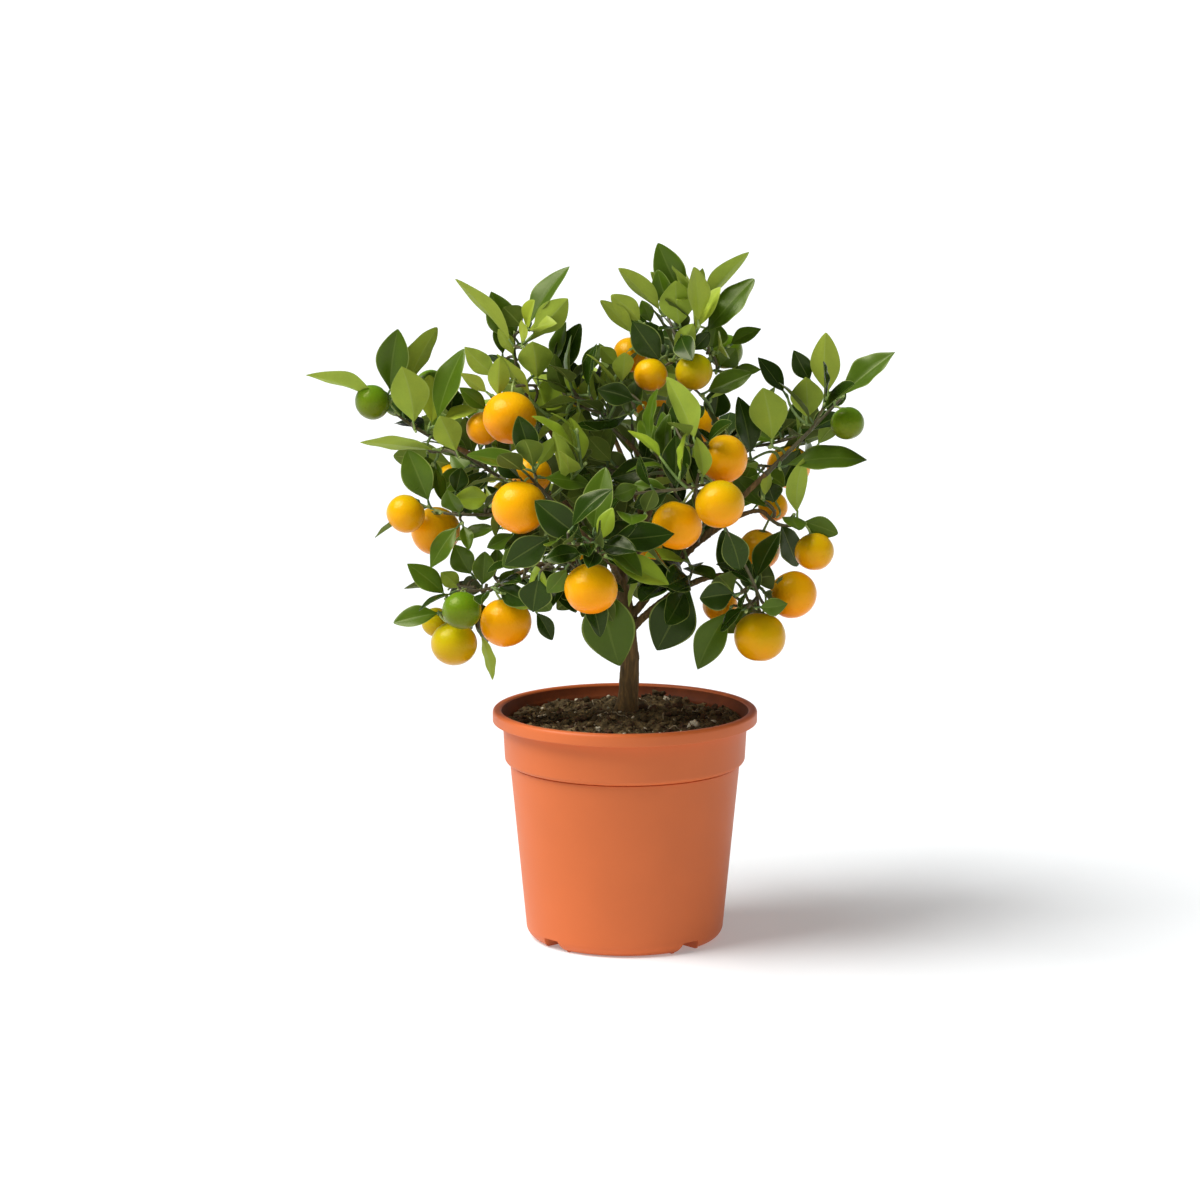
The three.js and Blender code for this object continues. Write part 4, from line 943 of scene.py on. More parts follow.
def show_as_seen(growths, limbs):
    """Puts the measured leaves in place of the solids' own, clears what hides fruit or sky, and
    returns the room that is held now."""
    seen = fruits_in_view(growths)
    rows = {name: [shown_leaf(row) for row in SHOWN_LEAVES.get(name, ())] for name in MASSES}
    points = np.concatenate([leaf.samples() for leaves in rows.values() for leaf in leaves])
    tips = on_trunk_plane(np.array([leaf.at(1, 0) for leaves in rows.values() for leaf in leaves]))
    for growth in growths:
        kept = []
        for leaf in growth.leaves:
            own = leaf.samples()
            apart = ((own[:, None] - points[None]) ** 2).sum(2).min() > SHOWN["apart"] ** 2
            same_tip = np.hypot(*(tips - on_trunk_plane(own[-1:])).T).min() < SHOWN["near_tip"]
            if apart and not (same_tip if leaf.measured else blocks_view(own, seen)):
                kept.append(leaf)
        growth.leaves = kept
        keep_needed_twigs(growth)
    held = HeldRoom(limbs, FINE_ROOM)
    for growth in growths:
        growth.held = held
        for twig in growth.twigs:
            held.hold_limb("twig", growth.mass_id, twig, SAMPLE["twig"])
        for fruit in growth.fruits:
            held.hold("fruit", growth.mass_id, fruit["centre"], fruit["radius"])
        for leaf in growth.leaves:
            held.hold("leaf", growth.mass_id, leaf.samples(), 0)
    for growth in growths:
        stem = growth.twigs[0]
        for leaf in sorted(rows[growth.name], key=lambda leaf: size_of(leaf.root - stem.point_at(0.5))):
            place_shown_leaf(growth, leaf)
    return held, seen


def grow_fine_shoots(growth):
    """Short shoots on every twig of the mass but the fruit stalks."""
    growth.shoots = []
    for twig in growth.wood():
        room = twig.length * (1 - FINE["from"]) * growth.plan["fine"]
        count = math.floor(room / FINE["shoot_every"] + FINE["rounding"])
        for share, around in spiral(growth.roll, count, FINE["from"], 1):
            off = math.radians(between(FINE["offs"], share))
            growth.try_shoot(twig, share, around, off, between(FINE["shoot_lengths"], growth.roll()))


def grow_spurs(limbs, held, shown):
    """Short leafy spurs on the bare lengths of the boughs inside the crown."""
    plan = mass("", (0, 0, 0), 0, 0, SPURS["seed"], SPURS["space"], (), (), "dark")
    growth = Growth("spurs", plan, 1 + len(MASSES), held)
    growth.usual, growth.lift, growth.shown_fruits = FINE["leaf_length"], FINE["lift"], shown
    for bough in (limbs[name] for name in BOUGHS):
        count = math.floor(bough.length * (1 - SPURS["from"]) / SPURS["every"])
        for share, around in spiral(growth.roll, count, SPURS["from"], 1):
            growth.try_spur(bough, share, around, between(SPURS["lengths"], growth.roll()))
    for spur in growth.shoots:
        growth.dress_twig(spur, FINE["bare"], FINE["leaf_spacing"])
    return growth


def grow_finer(growths, limbs):
    held, shown = show_as_seen(growths, limbs)
    for growth in growths:
        growth.roll = dice(growth.plan["seed"] + FINE["seed"])
        growth.usual, growth.lift, growth.shown_fruits = FINE["leaf_length"], FINE["lift"], shown
        old = growth.wood()
        grow_fine_shoots(growth)
        growth.dress_shoots(FINE["bare"], FINE["leaf_spacing"])
        for twig in old:
            if growth.roll() < growth.plan["fine"]:
                growth.dress_twig(twig, FINE["bare"], FINE["leaf_spacing"])
    growths.append(grow_spurs(limbs, held, shown))


def end_bare_twigs(growths):
    """A twig ends just past the last leaf, stalk or twig that it carries."""
    for growth in growths:
        carried = {id(twig): 0.0 for twig in growth.twigs}
        for leaf in growth.leaves:
            carried[id(leaf.twig)] = max(carried[id(leaf.twig)], leaf.share)
        for twig in growth.twigs:
            if twig.parent is not None and id(twig.parent) in carried:
                shares = np.linspace(0, 1, TWIG_STEPS + 1)
                away = [size_of(twig.parent.on_curve(share) - twig.start) for share in shares]
                share = float(shares[int(np.argmin(away))])
                carried[id(twig.parent)] = max(carried[id(twig.parent)], share)
        for twig in growth.wood():
            twig.shown = min(1.0, carried[id(twig)] + TWIG_OVER / twig.length)
        growth.twigs = [twig for twig in growth.twigs if twig.name == "stalk" or carried[id(twig)] > 0]


def deal_tones(growths):
    """Each twig's leaves take one tone; twigs above their mass's middle are a step younger."""
    for growth in growths:
        roll = dice(growth.plan["seed"] + YOUNGER["seed"])
        shares = np.cumsum(TONE_SHARES[growth.plan["tone"]])
        middle = growth.plan["space"][0][2]
        for twig in growth.twigs:
            step = int(np.searchsorted(shares, roll() * BELOW_ONE))
            above = (twig.end[2] - middle) / YOUNGER["span"]
            lift = above > YOUNGER["above"] and roll() < YOUNGER["chance"]
            twig.tone = TONES[min(step + int(lift), len(TONES) - 1)]
        for leaf in growth.leaves:
            leaf.tone = leaf.tone or leaf.twig.tone


grown = {}


def plant():
    """The limbs and the crown, grown once and shared by the operators."""
    if not grown:
        limbs = grow_limbs()
        growths = grow_crown(limbs)
        grow_finer(growths, limbs)
        end_bare_twigs(growths)
        deal_tones(growths)
        grown.update(limbs=limbs, growths=growths)
    return grown


# Meshes.

# How far a tube's pointed ends reach past its first and its last ring, as shares of their radii.
TUBE_ENDS = (0.3, 0.5)


def placed(name, data):
    """A new object in the scene."""
    made = bpy.data.objects.new(name, data)
    bpy.context.scene.collection.objects.link(made)
    return made


class Shape:
    """Points in millimetres and faces, gathered for one piece."""

    def __init__(self):
        self.points = []
        self.faces = []
        self.finish = []
        self.count = 0

    def add(self, points, faces, finish=0):
        """`faces` index the new points; `finish` is one material index or one for each face."""
        self.points.append(np.asarray(points, float).reshape(-1, 3))
        self.faces.extend(tuple(int(corner) + self.count for corner in face) for face in faces)
        self.finish.extend([finish] * len(faces) if isinstance(finish, int) else finish)
        self.count += len(self.points[-1])

    def piece(self, name, materials, sharp_from=60.0):
        """The finished object, smooth but for edges sharper than `sharp_from` degrees."""
        data = bpy.data.meshes.new(name)
        data.from_pydata((np.concatenate(self.points) * MM).tolist(), [], self.faces)
        for material in materials:
            data.materials.append(material)
        data.polygons.foreach_set("material_index", self.finish)
        data.polygons.foreach_set("use_smooth", [True] * len(self.faces))
        data.update()
        if sharp_from:
            data.set_sharp_from_angle(angle=math.radians(sharp_from))
        return placed(name, data)


def seat(piece, slot, *nodes):
    """Every piece rides on the one body and stands for `nodes`, which it hides; `slot` is not used."""
    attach(piece, "root")
    if nodes:
        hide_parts(*nodes)
    return piece


def skin_faces(rings, sides, inward=False):
    """Faces between rings of points, closed at both ends on the two points that follow them."""
    first = rings * sides
    end = first - sides
    faces = []
    for i in range(rings - 1):
        for j in range(sides):
            a, b = i * sides + j, i * sides + (j + 1) % sides
            faces.append((a, b, b + sides, a + sides))
    for j in range(sides):
        after = (j + 1) % sides
        faces += [(first, after, j), (first + 1, end + j, end + after)]
    return [(face[0], *face[:0:-1]) for face in faces] if inward else faces


def circle(sides):
    """Cosine and sine of even turns, one row for each side."""
    turns = np.arange(sides) * 2 * math.pi / sides
    return np.stack([np.cos(turns), np.sin(turns)], 1)


def add_tube(shape, centres, radii, sides, finish=0, stretch=None):
    """A closed round tube through `centres`, with pointed ends; `stretch` scales rings by angle."""
    centres = np.asarray(centres, float)
    ways = np.gradient(centres, axis=0)
    ways /= np.linalg.norm(ways, axis=1)[:, None]
    lift, _ = square_to(ways[0])
    turns = np.arange(sides) * 2 * math.pi / sides
    rings = []
    for i, (centre, way, radius) in enumerate(zip(centres, ways, radii)):
        lift = unit(lift - way * np.dot(lift, way))
        side = cross(way, lift)
        reach = radius if stretch is None else radius * stretch(i, turns)
        ring = np.outer(np.cos(turns) * reach, lift) + np.outer(np.sin(turns) * reach, side)
        rings.append(centre + ring)
    points = np.concatenate([*rings, centres[:1] - ways[0] * radii[0] * TUBE_ENDS[0],
                             centres[-1:] + ways[-1] * radii[-1] * TUBE_ENDS[1]])
    shape.add(points, skin_faces(len(centres), sides), finish)


def sphere_grid(around, down):
    """Unit sphere as points and faces, its poles on Z."""
    lines = np.arange(1, down) * math.pi / down
    ring = circle(around)
    body = [np.column_stack([ring * math.sin(line), np.full(around, math.cos(line))]) for line in lines]
    return np.concatenate([*body, [(0, 0, 1), (0, 0, -1)]]), skin_faces(down - 1, around, True)


def frame_on(axis):
    """Rows are two directions square to `axis`, and `axis`."""
    lift, side = square_to(axis)
    return np.array([lift, side, axis])


# Finishes. Scales of grain are per metre and depths of relief are in metres.

# The two peel tints for faces that look down and up are painted shade and painted light on the fruit.
TINTS = {
    "soil film": (0.055, 0.034, 0.02), "peat fibre": (0.12, 0.05, 0.02), "moss": (0.085, 0.070, 0.024),
    "bark fleck": (0.26, 0.18, 0.09), "leaf gloss": (1.0, 1.0, 0.62, 1.0),
    "peel gloss": (1.0, 0.85, 0.40, 1.0), "peel painted shade": (1, 0.66, 1), "peel painted light": (1, 1.20, 1),
}

# Places of the mix node's share, two colours and result, and the normal's Z that counts as down.
MIX_INPUTS, MIX_RESULT = (0, 6, 7), 2
FACES_DOWN = -0.8


class Nodes:
    """A tree of shader nodes, built by short calls."""

    def __init__(self, tree):
        self.tree = tree

    def put(self, socket, value):
        """Links another node's output to the socket, or sets it to a constant."""
        if isinstance(value, bpy.types.NodeSocket):
            self.tree.links.new(value, socket)
        else:
            socket.default_value = value

    def node(self, kind, sockets=None, **values):
        made = self.tree.nodes.new(kind)
        for key, value in values.items():
            setattr(made, key, value)
        for name, value in (sockets or {}).items():
            self.put(made.inputs[name], value)
        return made

    def ramp(self, value, *stops):
        """Colours by value; each stop is a position and a colour."""
        made = self.node("ShaderNodeValToRGB", {"Fac": value})
        ramp = made.color_ramp
        while len(ramp.elements) < len(stops):
            ramp.elements.new(0.5)
        for element, (position, colour) in zip(ramp.elements, stops):
            element.position = position
            element.color = (*colour, 1)
        return made.outputs["Color"]

    def height_of(self, vector):
        """The Z of a direction."""
        return self.node("ShaderNodeSeparateXYZ", {"Vector": vector}).outputs["Z"]


class Finish(Nodes):
    """A procedural material: one shader, its pattern in the object's own coordinates."""

    def __init__(self, name, roughness, specular=0.5):
        self.material = bpy.data.materials.new(name)
        self.material.use_nodes = True
        super().__init__(self.material.node_tree)
        self.shader = self.tree.nodes["Principled BSDF"]
        self.look({"Roughness": roughness, "Specular IOR Level": specular})
        self.where = self.node("ShaderNodeTexCoord").outputs["Object"]

    def look(self, sockets):
        for name, value in sockets.items():
            self.put(self.shader.inputs[name], value)

    def stretched(self, scale):
        """The object's coordinates, scaled by a different amount along each axis."""
        return self.node("ShaderNodeMapping", {"Scale": scale, "Vector": self.where}).outputs["Vector"]

    def noise(self, scale, detail=3.0, roughness=0.55, where=None, distortion=0.0):
        return self.node("ShaderNodeTexNoise", {
            "Scale": scale, "Detail": detail, "Roughness": roughness, "Distortion": distortion,
            "Vector": where or self.where,
        }).outputs["Fac"]

    def cells(self, scale):
        """Distance to the middle of the nearest of many small cells."""
        return self.node("ShaderNodeTexVoronoi", {"Scale": scale, "Vector": self.where}).outputs["Distance"]

    def blend(self, share, first, second, kind="MIX"):
        """Two colours mixed; each of the three values is a socket or a constant."""
        made = self.node("ShaderNodeMix", data_type="RGBA", blend_type=kind)
        for value, place in zip((share, first, second), MIX_INPUTS):
            self.put(made.inputs[place], (*value, 1) if isinstance(value, tuple) else value)
        return made.outputs[MIX_RESULT]

    def upward(self):
        """0 where the surface looks down and 1 where it looks up."""
        height = self.height_of(self.node("ShaderNodeNewGeometry").outputs["Normal"])
        return self.node("ShaderNodeMapRange", {"From Min": FACES_DOWN, "Value": height}).outputs["Result"]

    def spread(self, value, low, high):
        """`value` of 0 to 1 taken to the range from `low` to `high`."""
        sockets = {"To Min": low, "To Max": high, "Value": value}
        return self.node("ShaderNodeMapRange", sockets).outputs["Result"]

    def colour(self, value):
        self.look({"Base Color": value})

    def rough(self, value, low, high):
        self.look({"Roughness": self.spread(value, low, high)})

    def bump(self, value, depth, strength=1.0, under=None):
        """Relief of `depth` metres, on top of the relief `under` it."""
        sockets = {"Strength": strength, "Distance": depth, "Height": value}
        if under is not None:
            sockets["Normal"] = under
        normal = self.node("ShaderNodeBump", sockets).outputs["Normal"]
        self.look({"Normal": normal})
        return normal


def shade(colour, factor):
    return tuple(min(channel * factor, 1.0) for channel in colour)


def mix_colours(first, second, share):
    return tuple(mix(a, b, share) for a, b in zip(first, second))


def grained_finish(name, gloss, grain, stops, relief, stretch=None):
    """One grain colours the surface and lifts it. `gloss` is roughness and specular level, `grain` is
    scale, detail and roughness of the noise, and `relief` is depth and strength."""
    finish = Finish(name, *gloss)
    grains = finish.noise(*grain, finish.stretched(stretch) if stretch else None)
    finish.colour(finish.ramp(grains, *stops))
    finish.bump(grains, *relief)
    return finish.material


def pot_finish(colour):
    """Smooth moulded plastic with a faint mottle and fine wear."""
    finish = Finish("pot plastic", 0.46, 0.3)
    broad = finish.noise(14, 2)
    fine = finish.noise(160, 4)
    mottled = finish.ramp(broad, (0.3, shade(colour, 0.94)), (0.7, shade(colour, 1.05)))
    finish.colour(finish.blend(finish.spread(fine, 0.0, 0.10), mottled, shade(colour, 1.35)))
    finish.rough(fine, 0.42, 0.52)
    finish.bump(finish.noise(900, 2), 0.00004, 0.5)
    return finish.material


def pot_inside_finish(colour):
    """The same plastic, dulled, darkened all over inside the pot as painted shade, and with specks of soil.
    """
    finish = Finish("pot inside", 0.62, 0.2)
    # Painted shade: the noise `film` and the colour `damp` darken the whole inside wall to 0.30 to 0.50 of
    # the plastic's colour, for the shadow that falls into the pot; only the specks are soil.
    film = finish.noise(45, 4, 0.6)
    specks = finish.noise(420, 5, 0.65)
    damp = finish.ramp(film, (0.3, shade(colour, 0.30)), (0.7, shade(colour, 0.50)))
    finish.colour(finish.blend(finish.spread(specks, 0.0, 0.3), damp, TINTS["soil film"]))
    finish.bump(specks, 0.0001, 0.6)
    return finish.material


def soil_finish(name, dark, light, scale=260):
    """Damp peat: dark brown crumbs with lighter fibres."""
    finish = Finish(name, 0.92, 0.25)
    crumbs = finish.noise(scale, 8, 0.7)
    patches = finish.noise(60, 3)
    clods = finish.noise(150, 3, 0.6)
    brown = finish.ramp(crumbs, (0.38, dark), (0.52, mix_colours(dark, light, 0.4)), (0.66, light))
    mixed = finish.blend(finish.spread(clods, -0.9, 1.7), brown, shade(dark, 0.55))
    reddish = mix_colours(dark, TINTS["peat fibre"], 0.4)
    finish.colour(finish.blend(finish.spread(patches, 0.0, 0.45), mixed, reddish))
    finish.bump(crumbs, 0.0006, 0.9)
    return finish.material


def stone_finish():
    """Cream-coloured porous granules."""
    stops = ((0.3, (0.42, 0.33, 0.20)), (0.6, (0.78, 0.70, 0.52)))
    return grained_finish("perlite", (0.85, 0.3), (900, 4, 0.6), stops, (0.0003, 0.7))


def root_finish():
    stops = ((0.3, (0.30, 0.22, 0.13)), (0.7, (0.62, 0.52, 0.36)))
    return grained_finish("root fibre", (0.7, 0.3), (700, 3, 0.55), stops, (0.0001, 0.5))


def bark_finish(colour):
    """Grey-brown bark with upright streaks and pale flecks."""
    finish = Finish("bark", 0.82, 0.3)
    streaks = finish.noise(150, 7, 0.62, finish.stretched((3.2, 3.2, 0.42)), 0.6)
    flecks = finish.noise(520, 4, 0.6, finish.stretched((1.6, 1.6, 0.5)))
    patches = finish.noise(38, 3)
    brown = finish.ramp(streaks, (0.32, shade(colour, 0.35)), (0.50, colour), (0.66, shade(colour, 1.9)))
    green = finish.blend(finish.spread(patches, 0.0, 0.5), brown, TINTS["moss"])
    finish.colour(finish.blend(finish.spread(flecks, 0.0, 0.26), green, TINTS["bark fleck"]))
    finish.rough(streaks, 0.70, 0.92)
    coarse = finish.bump(streaks, 0.0008, 0.7)
    finish.bump(flecks, 0.0002, 0.6, coarse)
    return finish.material


def twig_finish(name, colour, pale):
    """Smooth young bark or stalk with fine upright streaks."""
    stops = ((0.32, shade(colour, 0.75)), (0.55, colour), (0.75, pale))
    return grained_finish(name, (0.55, 0.4), (420, 4, 0.6), stops, (0.00015, 0.6), (1.5, 1.5, 0.6))


def blade_finish(name, colour, roughness, specular=0.5, mottle=0.18):
    """Waxy leaf blade with soft cloudy patches and a fine grain."""
    finish = Finish(name, roughness, specular)
    finish.look({"Specular Tint": TINTS["leaf gloss"]})
    clouds = finish.noise(75, 3, 0.6)
    broad = finish.noise(21, 1, 0.4)
    grain = finish.noise(1100, 3)
    warm = (colour[0] * (1 + 1.9 * mottle), colour[1] * (1 + mottle), colour[2])
    patched = finish.ramp(clouds, (0.30, shade(colour, 1 - mottle)), (0.52, colour), (0.74, warm))
    aged = finish.blend(finish.spread(broad, 0.0, 0.9), patched, shade(warm, 1 - 1.6 * mottle))
    finish.colour(finish.blend(finish.spread(grain, 0.0, 0.18), aged, shade(warm, 1.7)))
    finish.rough(clouds, roughness - 0.06, roughness + 0.08)
    finish.bump(grain, 0.00006, 0.5)
    return finish.material


def peel_finish(name, colour, blush, share):
    """Citrus peel: fine oil pits, a soft blush, yellower on top and deeper orange underneath as painted light
    and shade, and a waxy gloss.
    """
    finish = Finish(name, 0.28, 0.30)
    finish.look({
        "Specular Tint": TINTS["peel gloss"], "Subsurface Weight": 0.10,
        "Subsurface Radius": (1.0, 0.45, 0.1), "Subsurface Scale": 0.003,
    })
    clouds = finish.noise(38, 2, 0.5)
    specks = finish.noise(420, 3, 0.6)
    base = finish.ramp(clouds, (0.5 - share, colour), (1.0 - share, blush))
    # Painted light and shade: the peel is yellower where it looks up and deeper orange where it looks down.
    painted_light_and_shade = finish.blend(finish.upward(), TINTS["peel painted shade"], TINTS["peel painted light"])
    peel_with_painted_light = finish.blend(1.0, base, painted_light_and_shade, "MULTIPLY")
    finish.colour(finish.blend(finish.spread(specks, 0.0, 0.14), peel_with_painted_light, shade(colour, 1.35)))
    finish.rough(specks, 0.24, 0.34)
    finish.bump(finish.cells(760), 0.00022, 0.45)
    return finish.material


# Pot.


def arc(centre_x, centre_z, radius, from_turn, to_turn, steps):
    turns = [math.radians(mix(from_turn, to_turn, i / steps)) for i in range(steps + 1)]
    return [(centre_x + radius * math.cos(turn), centre_z + radius * math.sin(turn)) for turn in turns]


def pot_inside():
    """Inner face of the pot from its floor up to the mouth, as radius and height."""
    lip_foot = POT["height"] - POT["lip_depth"]
    corners = [
        (0, POT["floor"]),
        *arc(POT["foot_radius"] - POT["foot_round"] - 1, POT["foot_round"] + POT["floor"] - 0.5,
             POT["foot_round"] - 1, -90, -8, 8),
        (POT["body_top_radius"] - POT["wall"], POT["body_top_height"] + POT["wall"] / 2),
        (POT["collar_foot_radius"] - POT["wall"], POT["collar_foot_height"] + POT["wall"]),
        (POT["collar_top_radius"] - POT["wall"], lip_foot),
        (POT["mouth_radius"] - POT["lip_round"] / 2, POT["height"] - 3 * POT["lip_round"]),
    ]
    return softened(corners, *POT["soften"])


def softened(points, reach, most, steps=4):
    """A profile whose corners are rounded off over `reach`, and over `most` of a side at the most."""
    points = [np.array(p, float) for p in points]
    out = [points[0]]
    for before, corner, after in zip(points, points[1:], points[2:]):
        back, ahead = before - corner, after - corner
        room = min(reach, np.linalg.norm(back) * most, np.linalg.norm(ahead) * most)
        start = corner + back / np.linalg.norm(back) * room
        end = corner + ahead / np.linalg.norm(ahead) * room
        out += [bent(start, corner, end, i / steps) for i in range(steps + 1)]
    return [*out, points[-1]]


def pot_profile(inside):
    """The outside from the middle of the underside up to the mouth, then the inside down again."""
    lip_foot, top, lip_round = POT["height"] - POT["lip_depth"], POT["height"], POT["lip_round"]
    foot, foot_round = POT["foot_radius"], POT["foot_round"]
    body, collar, collar_top = POT["body_top_radius"], POT["collar_foot_radius"], POT["collar_top_radius"]
    crease, edge, step, shoulder = POT["crease"], POT["lip_edge"], POT["step_round"], POT["lip_shoulder"]
    flare, turn_height = POT["flare"], POT["collar_foot_height"] + POT["turn_above"]
    step_foot = turn_height - step
    return [
        (0, 0), (foot - foot_round, 0), *arc(foot - foot_round, foot_round, foot_round, -90, 0, 10)[1:-1],
        (foot, foot_round), (body, POT["body_top_height"]), (body + flare, step_foot - 2 * crease),
        (body + flare, step_foot - crease), (body - crease, step_foot - 0.6 * crease),
        (body - crease, step_foot), *arc(collar - step, turn_height, step, -80, 0, 7),
        (collar_top, lip_foot - 0.2), (collar_top - 0.3, lip_foot + 0.3),
        *arc(POT["lip_radius"] - edge, lip_foot + edge, edge, -90, 0, 5),
        *arc(POT["lip_radius"] - shoulder, top - shoulder, shoulder, 0, 90, 8),
        *arc(POT["mouth_radius"] + lip_round, top - lip_round, lip_round, 90, 180, 6),
        *reversed(inside),
    ]


def add_lathe(shape, profile, sides, inside_from):
    """A closed solid turned about Z; the profile starts and ends on the axis, and its rings from
    `inside_from` on take the second finish."""
    rings = [p for p in profile if p[0] > 1e-6]
    spin = circle(sides)
    points = [np.column_stack([spin * radius, np.full(sides, height)]) for radius, height in rings]
    points.append([(0, 0, profile[0][1]), (0, 0, profile[-1][1])])
    finish = [int(i >= inside_from) for i in range(len(rings) - 1) for _ in range(sides)]
    shape.add(np.concatenate(points), skin_faces(len(rings), sides), finish + [0, 1] * sides)


def radial_bar(mouth_width, roof_width, height, start, end, turn, foot=0.0):
    """A bar of trapezium section that runs outwards from the axis."""
    low, high = mouth_width / 2, roof_width / 2
    section = [(-low, foot), (low, foot), (high, foot + height), (-high, foot + height)]
    points = np.array([(x, -reach, z) for reach in (start, end) for x, z in section])
    cosine, sine = math.cos(math.radians(turn)), math.sin(math.radians(turn))
    spun = np.column_stack([points[:, 0] * cosine - points[:, 1] * sine,
                            points[:, 0] * sine + points[:, 1] * cosine, points[:, 2]])
    faces = [(3, 2, 1, 0), (4, 5, 6, 7), (1, 5, 4, 0), (2, 6, 5, 1), (3, 7, 6, 2), (0, 4, 7, 3)]
    return spun, faces


def drain_tools():
    """What is joined to the pot's floor over each channel, and what is cut out of it."""
    roofs, hollows = Shape(), Shape()
    roof_height = CHANNEL["height"] + POT["floor"]
    below, foot = CHANNEL["below"], CHANNEL["above_foot"]
    slope = (CHANNEL["mouth_width"] - CHANNEL["roof_width"]) / CHANNEL["height"]
    for i in range(CHANNEL["count"]):
        turn = CHANNEL["first_turn"] + i * 360 / CHANNEL["count"]
        start = CHANNEL["inner_radius"] - POT["wall"]
        end = POT["foot_radius"] - POT["foot_round"] + POT["wall"]
        wide = 2 * POT["wall"]
        roofs.add(*radial_bar(CHANNEL["mouth_width"] + wide, CHANNEL["roof_width"] + wide,
                              roof_height - foot, start, end, turn, foot))
        hollows.add(*radial_bar(CHANNEL["mouth_width"] + slope * below, CHANNEL["roof_width"],
                                CHANNEL["height"] + below, CHANNEL["inner_radius"],
                                POT["foot_radius"] + POT["wall"], turn, -below))
    return roofs, hollows


def drain_holes():
    holes = Shape()
    for i in range(CHANNEL["count"]):
        turn = math.radians(CHANNEL["first_turn"] + i * 360 / CHANNEL["count"])
        middle = (CHANNEL["hole_at"] * math.sin(turn), -CHANNEL["hole_at"] * math.cos(turn))
        centres = [(*middle, height) for height in CHANNEL["hole_heights"]]
        add_tube(holes, centres, [CHANNEL["hole_radius"]] * len(centres), CHANNEL["hole_sides"])
    return holes


def cut(piece, tool, operation):
    """Applies one boolean to `piece` and removes the tool."""
    modifier = piece.modifiers.new("cut", "BOOLEAN")
    modifier.operation = operation
    modifier.solver = "EXACT"
    modifier.object = tool
    apply_modifiers(piece)
    bpy.data.objects.remove(tool)


def apply_modifiers(piece):
    """Puts the modified mesh in the place of the piece's own."""
    graph = bpy.context.evaluated_depsgraph_get()
    made = bpy.data.meshes.new_from_object(piece.evaluated_get(graph))
    piece.modifiers.clear()
    piece.data = made


def make_pot(colour, sides):
    shape = Shape()
    inside = pot_inside()
    profile = pot_profile(inside)
    add_lathe(shape, profile, sides, len(profile) - len(inside) - 3)
    plastic = pot_finish(colour)
    pot = shape.piece("pot_shell", [plastic, pot_inside_finish(colour)], 0)
    roofs, hollows = drain_tools()
    cut(pot, roofs.piece("tool", [plastic], 0), "UNION")
    cut(pot, hollows.piece("tool", [plastic], 0), "DIFFERENCE")
    cut(pot, drain_holes().piece("tool", [plastic], 0), "DIFFERENCE")
    pot.data.polygons.foreach_set("use_smooth", [True] * len(pot.data.polygons))
    pot.data.set_sharp_from_angle(angle=math.radians(POT["sharp_edge"]))
    return seat(pot, "pot_plastic", "pot")


# Soil.

SOIL_EDGE_GAP = 0.4
BED = {"sides": 400, "rings": 120, "depth": 14, "foot_inset": 0.6, "sinks_from": 0.97, "sink": 1.2}

# Width of the clods, the layer of noise that places them, and their height.
CLODS = ((9.0, 3.0, 5.2), (3.6, 11.0, 1.9))
CLOD = {"warp_scale": 1.3, "warp": 0.45, "reach": 0.8, "heights": (0.65, 0.35), "dealt_by": 7.3}
CLOD_SHIFTS = [Vector(shift) for shift in ((9.3, -1.5, -7.9), (-3.7, 6.1, 2.3), (5.9, 12.4, -4.6))]

# Swell and grit have a scale, a layer of noise and a height; the ground opens up round the trunk.
GROUND = {
    "swell": (0.045, 2.0, 3.0), "grit": (0.9, 5.0, 0.4), "octaves": (0.8, 2.1, 3), "sunk": 3.0,
    "at_trunk": 0.8, "opens": 9,
}
LUMP = {
    "shift": 50, "coarse": 1.4, "fine": (3.1, 0.4), "rough": 0.8, "stretch": ((0.65, 0.8), (0.75, 0.6), 0.75),
}

# Large grains of perlite: place and size.
STONES = (
    (39, -28.5, 2.6), (36, -31, 1.6), (-46, -23, 1.6), (-14.7, -34, 1.8), (24.6, 51, 2.3), (-47, 31, 1.5),
    (16.6, -38, 1.3), (14, 12, 1.4), (-30, -36, 1.2),
)
CRUMBS = {"sizes": (0.5, 2.3), "raised": 0.15, "squash": 0.8, "edge": 2.5}
CHIPS = {
    "count": 130, "lengths": (2.5, 8.0), "radii": (0.3, 0.9), "tip": 1.1, "raised": 0.5, "edge": 4.5,
    "rings": (-1, -0.5, 0, 0.5, 1), "uneven": (0.7, 0.5), "flat": (0.55, 0.45), "sides": 7,
}
PERLITE = {
    "sizes": (0.4, 1.2), "raised": 0.5, "stone_raised": 0.4, "squash": 0.9, "edge": 3, "fine": (14, 10),
}
FIBRES = {
    "lengths": (5, 14), "bend": 1.2, "radii": (0.16, 0.16), "steps": 8, "arch": 1.6, "sunk": 0.3,
    "taper": 0.5, "sides": 6, "edge": 8,
}
CLEAR_OF_TRUNK = 2


def from_trunk(x, y):
    return math.hypot(x - TRUNK["foot"][0], y - TRUNK["foot"][1])


def soil_height(x, y):
    """Height of the solid's surface: a seat round the trunk that slopes to a lumpy edge."""
    seat_radius, slope_radius = SOIL["seat_radius"], SOIL["slope_radius"]
    share = clamp((from_trunk(x, y) - seat_radius) / (slope_radius - seat_radius), 0, 1)
    slope = share * share * (3 - 2 * share)
    lumps = math.sin(x * 0.21 + 1.3) * math.cos(y * 0.17) + 0.6 * math.sin(x * 0.43 - y * 0.31)
    return mix(SOIL["seat_height"], SOIL["edge_height"] + SOIL["lump"] * lumps, slope)


